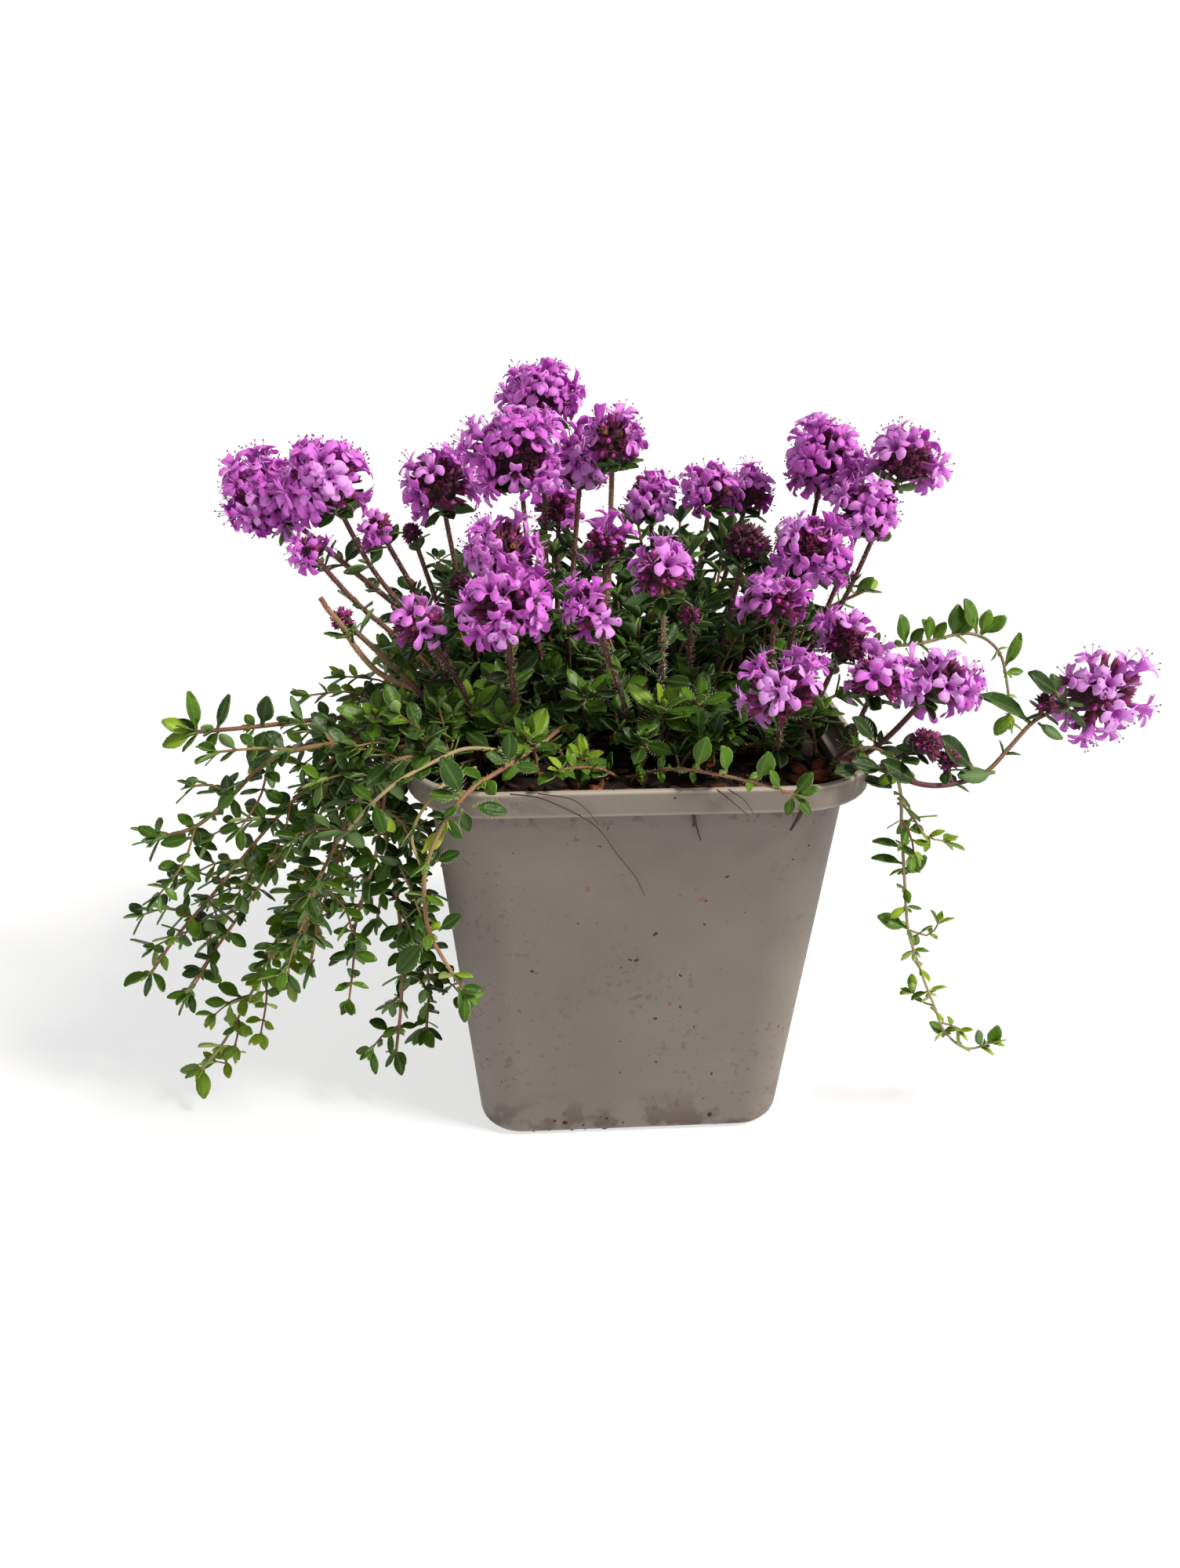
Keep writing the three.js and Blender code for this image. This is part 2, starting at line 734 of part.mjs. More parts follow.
// Leaf nodes counted from the foot, the last one close under the tip.
const nodesFromFoot = (step) => (length) => {
  const nodes = [];
  for (let at = step * 0.8; at < length - 0.7 * step; at += step) nodes.push(at);
  return [...nodes, length - 2];
};

const BOW = { across: 0.55, up: 0.38 };
const FIRST_SHOOT = 2.4;
const blooms = [];

// The way of a rising stem from its crown to its head, and the head that it bears.
function risingWay({ root: [x, y] }, { head, bends }) {
  const centre = vector(head);
  const size = head.slice(3);
  const bow = new THREE.Vector3(
    THREE.MathUtils.lerp(x, centre.x, BOW.across), THREE.MathUtils.lerp(y, centre.y, BOW.across),
    THREE.MathUtils.lerp(SOIL_TOP, centre.z, BOW.up));
  const path = bends ? bends.map(vector) : [bow];
  const { axis, end } = stemEnd(centre, path.at(-1).clone().lerp(centre, 0.3), size);
  blooms.push({ centre, axis, size });
  return {
    path: [...path, end], radius: STEM_RADIUS, nodesOf: nodesFromTop(RISING.pairStep), leaf: RISING.leaf,
  };
}

function creepingWay({ points, head }) {
  const way = { path: points.map(vector), radius: CREEPER_RADIUS, leaf: CREEPING.leaf };
  if (!head) return { ...way, nodesOf: nodesFromFoot(CREEPING.pairStep), tip: true };
  const size = head.slice(3);
  const { axis, end } = stemEnd(vector(head), way.path.at(-1), size);
  blooms.push({ centre: vector(head), axis, size });
  way.path.push(end);
  return { ...way, nodesOf: nodesFromTop(CREEPING.pairStep) };
}

// A short leafy shoot that leaves the crown and rises a little way off over the soil.
function shootWay({ root: [x, y] }, angle) {
  const reach = between(8, 11);
  const along = (share, z) => new THREE.Vector3(
    x + share * reach * Math.cos(angle), y + share * reach * Math.sin(angle), z);
  return {
    path: [along(0.6, CROWN_TOP + 3), along(1, CROWN_TOP + between(7, 12))], radius: STEM_RADIUS,
    nodesOf: nodesFromFoot(SHOOT.pairStep), leaf: SHOOT.leaf, tip: true, optional: true,
  };
}

// All the stems of a plant, each from its own foot on the crown.
function plantStems(plant) {
  const { rising = [], creeping = [], shoots = 0 } = plant;
  const ways = [
    ...rising.map((stem) => risingWay(plant, stem)), ...creeping.map(creepingWay),
    ...Array.from({ length: shoots }, (_, k) =>
      shootWay(plant, FIRST_SHOOT + between(-0.4, 0.4) + k * 2 * Math.PI / shoots)),
  ];
  const feet = crownFeet(plant.root, ways.map((way) => way.path[0]));
  return ways.map((way, k) => {
    const skinned = stemSkin([feet[k], ...way.path], way.radius, way.nodesOf);
    return { ...way, ...skinned, node: plant.name };
  });
}

const pieces = [
  { node: 'pot', solid: potSolid() },
  { node: 'soil', solid: soilSolid(PLANTS.map((plant) => plant.root)) },
];
for (const plant of PLANTS) {
  pieces.push({ node: plant.name, solid: crownSolid(plant.root, CROWN_RADIUS, SOIL_TOP - ROOT_DEPTH) });
}
for (const { solid, node } of pieces) stand(solid, node);

// A shoot is left out where another plant's stem is in its way.
const planned = PLANTS.flatMap(plantStems);
for (const stem of planned.filter(({ optional }) => !optional)) stand(bareStem(stem), stem.node, stem);
blooms.forEach(({ centre, axis, size }, k) => {
  const node = `bloom_${String(k + 1).padStart(2, '0')}`;
  pieces.push({ node, solid: bloomSolid(centre, axis, size) });
  stand(pieces.at(-1).solid, node);
});
const stems = planned.filter((stem) => {
  if (!stem.optional) return true;
  const bare = bareStem(stem);
  const fits = isClear(bare, (other) => other.node === stem.node);
  if (fits) stand(bare, stem.node, stem);
  return fits;
});
for (const stem of stems) pieces.push({ node: stem.node, solid: dressStem(stem) });

const thyme = new THREE.Group();
for (const node of new Set(pieces.map((piece) => piece.node))) {
  const solid = wasm.Manifold.union(pieces.filter((piece) => piece.node === node).map((piece) => piece.solid));
  const [colour, roughness] = COLOURS[node] ?? (node.startsWith('bloom') ? COLOURS.bloom : COLOURS.foliage);
  const mesh = new THREE.Mesh(
    geometryOf(solid), new THREE.MeshStandardMaterial({ color: colour, roughness, metalness: 0 }));
  mesh.name = node;
  thyme.add(mesh);
}

export default thyme;
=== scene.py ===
import math
import random

import bmesh
import bpy
import numpy as np
from mathutils import Matrix, Vector, noise


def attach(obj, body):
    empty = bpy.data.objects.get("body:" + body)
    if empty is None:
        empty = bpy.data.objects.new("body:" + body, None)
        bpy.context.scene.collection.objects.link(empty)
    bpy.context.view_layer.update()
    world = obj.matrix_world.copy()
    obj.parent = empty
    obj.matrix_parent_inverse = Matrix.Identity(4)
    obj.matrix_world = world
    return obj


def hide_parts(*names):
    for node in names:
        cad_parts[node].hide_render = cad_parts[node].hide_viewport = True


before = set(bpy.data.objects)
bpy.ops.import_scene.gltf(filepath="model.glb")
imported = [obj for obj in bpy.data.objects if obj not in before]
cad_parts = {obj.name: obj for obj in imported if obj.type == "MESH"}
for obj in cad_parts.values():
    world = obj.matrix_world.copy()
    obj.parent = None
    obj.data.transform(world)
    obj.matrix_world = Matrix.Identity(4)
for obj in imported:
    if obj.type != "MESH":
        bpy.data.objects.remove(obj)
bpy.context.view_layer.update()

# Camera
# A phone held a little above the plant, just left of its middle, looking down at it.
# Lens and place follow from the lines of the square pot.
MM = 0.001
UP = Vector((0, 0, 1))
EYE = (-24.41, -241.52, 179.94)
AIM = (-7.48, 0.52, 68.5)
CAMERA_ROLL = math.radians(0.46)
LENS = 28.05


def towards(eye, target, roll=0.0):
    turn = (Vector(target) - Vector(eye)).to_track_quat("-Z", "Y").to_matrix()
    return (turn @ Matrix.Rotation(roll, 3, "Z")).to_euler()


bpy.ops.object.camera_add(location=Vector(EYE) * MM, rotation=towards(EYE, AIM, CAMERA_ROLL))
camera = bpy.context.object
camera.data.lens = LENS
camera.data.sensor_width = 36
camera.data.clip_start = 0.01
bpy.context.scene.camera = camera
bpy.context.scene.view_settings.view_transform = "Standard"

# Floor and lights
# A white table top under a soft sky that is brightest low down. The sun stands high at
# the right and a little in front, so it grazes the pot's front.
SKY_LOW = 1.05
SKY_HIGH = 0.3
SUN = {"from": (0.6, -0.3, 0.74), "strength": 4.2, "angle": 14, "colour": (1, 0.96, 0.9)}
WHITE = (1, 1, 1, 1)
FLOOR_SIDE = 8
FLOOR_GLOW = 0.68


def node(owner, kind, inputs=None, **settings):
    """Adds a shader node to a material, or to the nodes that an output belongs to.

    An input is a number, a colour or another node's output."""
    tree = owner.id_data if isinstance(owner, bpy.types.NodeSocket) else owner.node_tree
    made = tree.nodes.new("ShaderNode" + kind)
    for name, value in settings.items():
        setattr(made, name, value)
    for name, value in (inputs or {}).items():
        if isinstance(value, bpy.types.NodeSocket):
            tree.links.new(value, made.inputs[name])
        else:
            made.inputs[name].default_value = value
    return made


SOCKETS = {"colour": "Base Color", "rough": "Roughness", "gloss": "Specular IOR Level",
           "sheen": "Sheen Weight", "glow": "Emission Strength", "glow_colour": "Emission Color"}


def shader_of(owner):
    """The shader that a material or the sky starts with."""
    return next(n for n in owner.node_tree.nodes if n.type in ("BSDF_PRINCIPLED", "BACKGROUND"))


def new_material(name, **constants):
    """A material whose constant values are set on its shader's sockets."""
    made = bpy.data.materials.new(name)
    made.use_nodes = True
    for key, value in constants.items():
        shader_of(made).inputs[SOCKETS[key]].default_value = value
    return made


def rgb(red, green, blue):
    """A colour given as it looks on screen, from 0 to 255."""
    return tuple(((value / 255 + 0.055) / 1.055) ** 2.4 for value in (red, green, blue)) + (1,)


def link(output, owner, socket="Base Color"):
    owner.node_tree.links.new(output, shader_of(owner).inputs[socket])


def add_shape(add, finish=None, **settings):
    """Adds a primitive with nothing else selected, and gives it a material."""
    bpy.ops.object.select_all(action="DESELECT")
    add(**settings)
    if finish:
        bpy.context.object.data.materials.append(finish)
    return bpy.context.object


floor_paint = new_material("floor_paint", colour=(0.3, 0.3, 0.3, 1), rough=0.9, glow=FLOOR_GLOW,
                           glow_colour=WHITE)
floor = add_shape(bpy.ops.mesh.primitive_plane_add, floor_paint, size=FLOOR_SIDE)
floor.name = "floor"

sky = bpy.data.worlds.new("sky")
sky.use_nodes = True
height_of_view = node(sky, "SeparateXYZ", {
    "Vector": node(sky, "TexCoord").outputs["Generated"]}).outputs["Z"]
sky_light = node(sky, "MapRange", {"Value": height_of_view, "From Min": 0.15, "From Max": 0.34,
                                   "To Min": SKY_LOW, "To Max": SKY_HIGH}).outputs["Result"]
shader_of(sky).inputs["Color"].default_value = WHITE
link(sky_light, sky, "Strength")
bpy.context.scene.world = sky
bpy.ops.object.light_add(type="SUN", rotation=Vector(SUN["from"]).to_track_quat("Z", "Y").to_euler())
sun = bpy.context.object.data
sun.energy = SUN["strength"]
sun.angle = math.radians(SUN["angle"])
sun.color = SUN["colour"]

# Pot
# A square nursery pot of thin taupe plastic, moulded in one piece: tapered walls with
# rounded corners, a stepped rim band that stands out, and holes in the floor.
POT_HEIGHT = 87.5
RIM_BAND = 5.0
WALL = 1.4
LEDGE = POT_HEIGHT - RIM_BAND
FOOT_ROUND = 3.4
EDGE_SHARE = 0.16
DRAIN_HOLE = 4.0
DRAIN_OFFSET = 18.0
DRILL_LENGTH = 8
# Each ring of the shell is a rounded square: half its width and its corner's radius.
FOOT = (32.5, 9.0)
TOP = (40.7, 15.0)
RIM = (44.4, 17.0)


def settle(piece):
    """Takes the object's place, turn and size into its mesh."""
    bpy.ops.object.transform_apply(location=True, rotation=True, scale=True)
    return piece


def model(add, selected="DESELECT", **settings):
    """Adds a primitive, settles it and opens it for shaping."""
    settle(add_shape(add, **settings))
    bpy.ops.object.mode_set(mode="EDIT")
    bpy.ops.mesh.select_all(action=selected)


def open_mesh():
    return bmesh.from_edit_mesh(bpy.context.object.data)


def update_open_mesh():
    bmesh.update_edit_mesh(bpy.context.object.data)


def pick_points(test):
    """Selects the points of the open mesh whose place passes a test."""
    bpy.ops.mesh.select_mode(type="VERT")
    mesh = open_mesh()
    for point in mesh.verts:
        point.select = test(point.co)
    mesh.select_flush(True)
    mesh.select_flush(False)
    update_open_mesh()


def pick_faces(test):
    """Selects the faces of the open mesh whose middle and normal pass a test."""
    bpy.ops.mesh.select_mode(type="FACE")
    mesh = open_mesh()
    for face in mesh.faces:
        face.select = test(face.calc_center_median(), face.normal)
    mesh.select_flush(True)
    update_open_mesh()


def close_mesh(name, *materials, face_out=False):
    """Leaves edit mode, with all faces turned outwards where that is asked for."""
    if face_out:
        bpy.ops.mesh.select_all(action="SELECT")
        bpy.ops.mesh.normals_make_consistent(inside=False)
    bpy.ops.object.mode_set(mode="OBJECT")
    made = bpy.context.object
    made.name = name
    for material in materials:
        made.data.materials.append(material)
    return made


def select_only(*pieces):
    bpy.ops.object.select_all(action="DESELECT")
    for piece in pieces:
        piece.select_set(True)
    bpy.context.view_layer.objects.active = pieces[0]


def modify(piece, kind, **settings):
    """Adds a modifier and applies it."""
    select_only(piece)
    added = piece.modifiers.new(kind.lower(), kind)
    for name, value in settings.items():
        setattr(added, name, value)
    bpy.ops.object.modifier_apply(modifier=added.name)


def reshape(old, new):
    """Turns the chosen points of one rounded square into another rounded square."""
    for point in (point for point in open_mesh().verts if point.select):
        for axis in (0, 1):
            on_arc = max(0, abs(point.co[axis]) / MM - (old[0] - old[1])) / old[1]
            point.co[axis] = math.copysign(new[0] - new[1] + new[1] * on_arc, point.co[axis]) * MM
    update_open_mesh()


def inside(ring):
    return (ring[0] - WALL, ring[1] - WALL)


def lift(height):
    bpy.ops.mesh.extrude_region_move(TRANSFORM_OT_translate={"value": (0, 0, height * MM)})


model(bpy.ops.mesh.primitive_cube_add, size=1, location=(0, 0, LEDGE / 2 * MM),
      scale=(2 * FOOT[0] * MM, 2 * FOOT[0] * MM, LEDGE * MM))
bpy.ops.mesh.select_mode(type="EDGE")
for edge in open_mesh().edges:
    edge.select = abs(edge.verts[0].co.z - edge.verts[1].co.z) > 1 * MM
update_open_mesh()
bpy.ops.mesh.bevel(offset=FOOT[1] * MM, segments=10, affect="EDGES")
pick_faces(lambda middle, normal: normal.z > 0.9)
reshape(FOOT, TOP)
lift(0)
reshape(TOP, RIM)
lift(RIM_BAND)
lift(0)
reshape(RIM, inside(RIM))
lift(WALL - RIM_BAND)
lift(0)
reshape(inside(RIM), inside(TOP))
lift(-LEDGE)
reshape(inside(TOP), inside(FOOT))
pot = close_mesh("pot_shell")
for x in (-DRAIN_OFFSET, DRAIN_OFFSET):
    for y in (-DRAIN_OFFSET, DRAIN_OFFSET):
        drill = add_shape(bpy.ops.mesh.primitive_cylinder_add, vertices=20, radius=DRAIN_HOLE * MM,
                          depth=DRILL_LENGTH * MM, location=(x * MM, y * MM, 0))
        modify(pot, "BOOLEAN", operation="DIFFERENCE", object=drill, solver="EXACT")
        bpy.data.objects.remove(drill)

# The foot is rounded broadly, and every other edge just enough to catch the light.
shell = bmesh.new()
shell.from_mesh(pot.data)
weights = shell.edges.layers.float.new("bevel_weight_edge")
for edge in shell.edges:
    at_foot = all(end.co.z < 0.1 * MM and max(abs(end.co.x), abs(end.co.y)) > (FOOT[0] - FOOT[1] - 0.5) * MM
                  for end in edge.verts)
    if edge.calc_face_angle(0) > math.radians(30):
        edge[weights] = 1.0 if at_foot else EDGE_SHARE
shell.to_mesh(pot.data)
shell.free()
modify(pot, "BEVEL", limit_method="WEIGHT", width=FOOT_ROUND * MM, segments=4,
       use_clamp_overlap=True)
bpy.ops.object.shade_smooth_by_angle(angle=math.radians(40))


def noise_at(material, scale, detail, roughness=0.5):
    """Noise on the object's own coordinates; a feature is about 1/scale metres wide."""
    return node(material, "TexNoise", {
        "Vector": node(material, "TexCoord").outputs["Object"], "Scale": scale, "Detail": detail,
        "Roughness": roughness}).outputs["Fac"]


def ramp(factor, *stops):
    """A colour ramp from pairs of a position and a colour, or a grey as one number."""
    made = node(factor, "ValToRGB", {"Fac": factor})
    elements = made.color_ramp.elements
    while len(elements) < len(stops):
        elements.new(0.5)
    for element, (position, colour) in zip(elements, stops):
        element.position = position
        element.color = colour if isinstance(colour, tuple) else (colour, colour, colour, 1)
    return made.outputs["Color"]


def rise(factor, low, high):
    """0 below low and 1 above high, with a straight climb between."""
    return node(factor, "MapRange", {
        "Value": factor, "From Min": low, "From Max": high}).outputs["Result"]


def times(first, second):
    return node(first, "Math", {0: first, 1: second}, operation="MULTIPLY").outputs["Value"]


def blend_colours(share, first, second, blend_type="MIX"):
    """Mixes two colours; the Mix node takes them at its sockets 6 and 7 and gives its output 2."""
    return node(first, "Mix", {0: share, 6: first, 7: second}, data_type="RGBA",
                blend_type=blend_type).outputs[2]


def bump(material, height, strength, distance):
    made = node(material, "Bump", {"Height": height, "Strength": strength, "Distance": distance})
    link(made.outputs["Normal"], material, "Normal")


plastic = new_material("taupe_plastic", gloss=0.35)
height_up = node(plastic, "SeparateXYZ", {
    "Vector": node(plastic, "TexCoord").outputs["Object"]}).outputs["Z"]


def spots(scale, detail, low, high):
    """Spots on the plastic, where a noise of its own rises from low to high."""
    return rise(noise_at(plastic, scale, detail), low, high)


# Dirt and wear by the height above the table in metres and by noise, with painted shade and highlights
# round the rim band and the lip.
# The strip just under the rim band gets a painted shadow, and the dirt specks under the rim keep to the
# same strip.
shadow_and_dirt_under_band = times(rise(height_up, 0.0775, 0.0822), rise(height_up, 0.0827, 0.0825))
# A painted highlight along the rim band's lower edge.
band_edge_highlight = times(rise(height_up, 0.0823, 0.0826), rise(height_up, 0.0833, 0.0829))
# A painted highlight on the top of the lip, where it faces the light.
lip = rise(height_up, 0.0868, 0.0873)
smears = times(spots(150, 4, 0.58, 0.7), spots(30, 2, 0.48, 0.6))
flakes = times(spots(620, 3, 0.6, 0.66), spots(42, 2, 0.5, 0.58))
foot_dirt = times(rise(height_up, 0.013, 0.001), spots(170, 4, 0.48, 0.58))
under_rim = times(shadow_and_dirt_under_band, spots(460, 3, 0.57, 0.62))
rusty_specks = spots(430, 2, 0.29, 0.265)
dark_specks = spots(520, 1.5, 0.735, 0.76)
shell_colour = ramp(noise_at(plastic, 26, 3), (0.35, rgb(110, 101, 93)), (0.65, rgb(122, 112, 103)))
# The shadow under the band, the band's lower edge and the lip are painted shade and highlights; the smears,
# flakes, foot dirt, dirt under the rim and specks are the pot's own dirt.
for mark, share, colour in (
        (shadow_and_dirt_under_band, 0.4, (74, 66, 60)), (band_edge_highlight, 0.4, (164, 152, 138)), (smears, 0.22, (112, 94, 82)),
        (flakes, 0.45, (96, 68, 56)), (lip, 0.5, (196, 186, 168)), (foot_dirt, 0.75, (68, 45, 34)),
        (under_rim, 0.75, (62, 46, 38)), (rusty_specks, 1, (122, 84, 68)), (dark_specks, 1, (50, 37, 30))):
    shell_colour = blend_colours(times(mark, share), shell_colour, rgb(*colour))
link(shell_colour, plastic)
link(ramp(noise_at(plastic, 60, 2), (0.3, 0.5), (0.7, 0.62)), plastic, "Roughness")
bump(plastic, noise_at(plastic, 1500, 2), 0.25, 0.0002)
pot.data.materials.clear()
pot.data.materials.append(plastic)
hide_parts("pot")
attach(pot, "root")

# Soil
# Dark moist compost fills the pot to just under its rim, with lumps on top and chips of
# bark lying in it, rust brown where they are fresh.
SOIL_TOP = 83.4
SOIL_HALF = 38.6
SOIL_FOOT_HALF = 30.6
SOIL_DEPTH = 81
SOIL_CORNER = 11.0
SOIL_STEPS = 72


def mould(piece, rule):
    """Moves every point of a closed mesh by a rule, as if by hand."""
    for point in piece.data.vertices:
        point.co = rule(point.co.copy())
    piece.data.update()


def into_rounded_square(place, half, corner):
    """Draws the corners of a square sheet in to a rounded outline."""
    x, y = place.x, place.y
    inner = half - corner
    over = Vector((max(abs(x) - inner, 0), max(abs(y) - inner, 0)))
    reach = max(over.x, over.y)
    if over.x > 0 and over.y > 0:
        over = over.normalized() * reach
    return Vector((math.copysign(min(abs(x), inner) + over.x, x),
                   math.copysign(min(abs(y), inner) + over.y, y), place.z))


model(bpy.ops.mesh.primitive_grid_add, x_subdivisions=SOIL_STEPS, y_subdivisions=SOIL_STEPS,
      size=2 * SOIL_HALF * MM, location=(0, 0, SOIL_TOP * MM))
soil = close_mesh("soil_block")
mould(soil, lambda place: into_rounded_square(place, SOIL_HALF * MM, SOIL_CORNER * MM))


def lumps(place):
    """Lumps in the middle, and an edge that sinks a little against the wall."""
    height = 2.2 * noise.noise(place * 130) + 1.5 * noise.noise(place * 420)
    edge = max(abs(place.x), abs(place.y)) / (SOIL_HALF * MM)
    place.z += MM * (0.55 * height * (1 - edge ** 6) - 1.2 * edge ** 4)
    return place


mould(soil, lumps)
bpy.ops.object.mode_set(mode="EDIT")
bpy.ops.mesh.select_mode(type="EDGE")
bpy.ops.mesh.select_all(action="DESELECT")
bpy.ops.mesh.select_non_manifold()
bpy.ops.mesh.extrude_edges_move(TRANSFORM_OT_translate={"value": (0, 0, -SOIL_DEPTH * MM)})
bpy.ops.transform.resize(value=(SOIL_FOOT_HALF / SOIL_HALF, SOIL_FOOT_HALF / SOIL_HALF, 0))
bpy.ops.mesh.edge_face_add()
compost = new_material("compost", rough=0.95, gloss=0.25)
link(ramp(noise_at(compost, 700, 4, 0.7), (0.3, rgb(16, 11, 9)), (0.55, rgb(44, 31, 24)),
          (0.8, rgb(92, 62, 42))), compost)
bump(compost, noise_at(compost, 900, 5, 0.7), 1.0, 0.0012)
close_mesh("soil_block", compost, face_out=True)
bpy.ops.object.shade_smooth_by_angle(angle=math.radians(50))


def keep_as_pattern(piece, sheet=0.0):
    """Takes a small finished shape off the scene, for copies to be made of it.

    The narrow faces round the edge of a thin sheet are shaded flat, which keeps it crisp."""
    pattern = piece.data
    pattern.use_fake_user = True
    for face in pattern.polygons:
        corners = [pattern.vertices[k].co for k in face.vertices]
        narrow = min((b - a).length for a, b in zip(corners, corners[1:] + corners[:1]))
        face.use_smooth = narrow > sheet * 1.2
    bpy.data.objects.remove(piece)
    return pattern


def scatter(name, pattern, copies):
    """One object of many copies of a pattern, each with its place in mm and its tone.

    A tone goes from 0 for dark to 1 for pale, and the material reads it."""
    places, tones = zip(*copies)
    count = len(pattern.vertices)
    points = np.empty(count * 3)
    pattern.vertices.foreach_get("co", points)
    points = np.c_[points.reshape(-1, 3), np.ones(count)]
    matrices = np.array([[list(row) for row in place] for place in places])
    moved = np.einsum("nij,kj->nki", matrices, points)[:, :, :3].reshape(-1, 3) * MM
    faces = [list(face.vertices) for face in pattern.polygons]
    every = [[k + copy * count for k in face] for copy in range(len(places)) for face in faces]
    mesh = bpy.data.meshes.new(name)
    mesh.from_pydata(moved.tolist(), [], every)
    for source in pattern.materials:
        mesh.materials.append(source)
    slots = np.tile([face.material_index for face in pattern.polygons], len(places))
    mesh.polygons.foreach_set("material_index", slots)
    smooth = np.tile([face.use_smooth for face in pattern.polygons], len(places))
    mesh.polygons.foreach_set("use_smooth", smooth)
    for attribute in ("along", "across", "tone"):
        values = np.zeros(count)
        if attribute in pattern.attributes:
            pattern.attributes[attribute].data.foreach_get("value", values)
        values = np.repeat(tones, count) if attribute == "tone" else np.tile(values, len(places))
        mesh.attributes.new(attribute, "FLOAT", "POINT").data.foreach_set("value", values)
    mesh.update()
    made = bpy.data.objects.new(name, mesh)
    bpy.context.scene.collection.objects.link(made)
    return made


def scatter_all(shapes, groups):
    """Objects of copies of each shape that a plant or a head has any of."""
    return [scatter(key, shape, groups[key]) for key, shape in shapes.items() if groups[key]]


def join(name, members):
    """Joins objects into one piece."""
    select_only(*members)
    if len(members) > 1:
        bpy.ops.object.join()
    bpy.context.object.name = name
    return bpy.context.object


def facing(out, up):
    """Axes for a pattern: y along out, z as near to up as that allows."""
    ahead = Vector(out).normalized()
    side = ahead.cross(Vector(up))
    if side.length < 1e-3:
        side = ahead.cross(Vector((1, 0.2, 0.1)))
    side.normalize()
    return Matrix((side, ahead, side.cross(ahead))).transposed()


def placed(point, axes, scale):
    return Matrix.Translation(Vector(point)) @ axes.to_4x4() @ Matrix.Diagonal((*scale, 1))


# Bark and crumbs
# Chips of composted bark and crumbs of soil, splintered and blunt, pressed a little way
# into the top of the compost.
bark = new_material("bark", rough=0.9, gloss=0.2)


def reading(material, name):
    """What a piece's own attribute says at each point."""
    return node(material, "Attribute", attribute_name=name).outputs["Fac"]


def grained(material, colour, scale, dark, light, detail=3):
    """A colour made darker and lighter by a fine noise."""
    grain = ramp(noise_at(material, scale, detail), (0.3, dark), (0.7, light))
    return blend_colours(1.0, colour, grain, "MULTIPLY")


bark_colour = ramp(reading(bark, "tone"), (0.0, rgb(18, 13, 11)), (0.55, rgb(52, 34, 25)),
                   (0.8, rgb(112, 62, 38)), (1.0, rgb(158, 92, 52)))
link(grained(bark, bark_colour, 1100, 0.45, 1.15), bark)
bump(bark, noise_at(bark, 1400, 3), 0.8, 0.0006)

# A rough crumb, a rounder one and a long splinter: seed, subdivisions and proportions.
CRUMB_SHAPES = []
for seed, subdivisions, size in ((1, 1, (1, 1, 0.8)), (2, 2, (1, 0.85, 0.6)), (3, 1, (0.45, 1, 0.22))):
    model(bpy.ops.mesh.primitive_ico_sphere_add, "SELECT", subdivisions=subdivisions, radius=0.5)
    bpy.ops.transform.vertex_random(offset=0.16, uniform=0.6, seed=seed)
    bpy.ops.transform.resize(value=size)
    CRUMB_SHAPES.append(keep_as_pattern(close_mesh("crumb", bark)))

CRUMBS = 620
crumb_rng = random.Random(11)
crumbs = [[], [], []]
for _ in range(CRUMBS):
    place = Vector((crumb_rng.uniform(-37, 37), crumb_rng.uniform(-37, 37), SOIL_TOP))
    place = into_rounded_square(place, SOIL_HALF - 1, SOIL_CORNER)
    shape = crumb_rng.choice((0, 0, 1, 2, 2))
    across = crumb_rng.uniform(0.7, 2.1) if shape < 2 else crumb_rng.uniform(1.8, 5.0)
    tilt = Vector((crumb_rng.uniform(-0.4, 0.4), crumb_rng.uniform(-0.4, 0.4), 1))
    heading = crumb_rng.uniform(0, 2 * math.pi)
    axes = facing((math.cos(heading), math.sin(heading), crumb_rng.uniform(-0.2, 0.2)), tilt)
    place.z += crumb_rng.uniform(-0.4, 0.5)
    tone = crumb_rng.random() ** (1.6 if shape < 2 else 0.9)
    crumbs[shape].append((placed(place, axes, (across,) * 3), tone))
# Larger chips that show in front: place on the soil, length, heading and tone.
CHIPS = [((33.5, -31.5), 7.0, 0.4, 0.95), ((31, -28.5), 5.2, 2.2, 0.9), ((35, -26), 4.6, 1.2, 0.82),
         ((29.5, -33), 4.0, 2.8, 0.8), ((-15, -36.5), 4.2, 0.3, 0.86), ((-9, -35.5), 3.4, 2.6, 0.9),
         ((-20, -37), 3.2, 1.0, 0.84), ((-3, -36), 3.0, 0.2, 0.7), ((6, -36.5), 3.4, 2.9, 0.6),
         ((14, -35), 3.6, 0.5, 0.66), ((21, -36), 3.4, 2.4, 0.72), ((0, -31), 4.4, 1.3, 0.55)]
for (x, y), length, heading, tone in CHIPS:
    axes = facing((math.cos(heading), math.sin(heading), 0.15), (0.1, -0.35, 1))
    size = (length * 1.5, length, length * 1.4)
    crumbs[2].append((placed((x, y, SOIL_TOP + 0.4), axes, size), tone))
soil = join("potting_soil", [soil, *(scatter("crumbs", *pair) for pair in zip(CRUMB_SHAPES, crumbs))])
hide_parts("soil")
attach(soil, "root")

# Leaf shapes
# A thyme leaf is a small oval blade on a short stalk, creased along its rib and paler at
# its edge, with a few stiff hairs near its foot. Young ones stay narrow and folded.
LEAF_WIDTH = 0.47
OUTLINE = (0.13, 0.2, 0.74, 1.0, 0.97, 0.7, 0.16)
LEAF_THICKNESS = 0.035


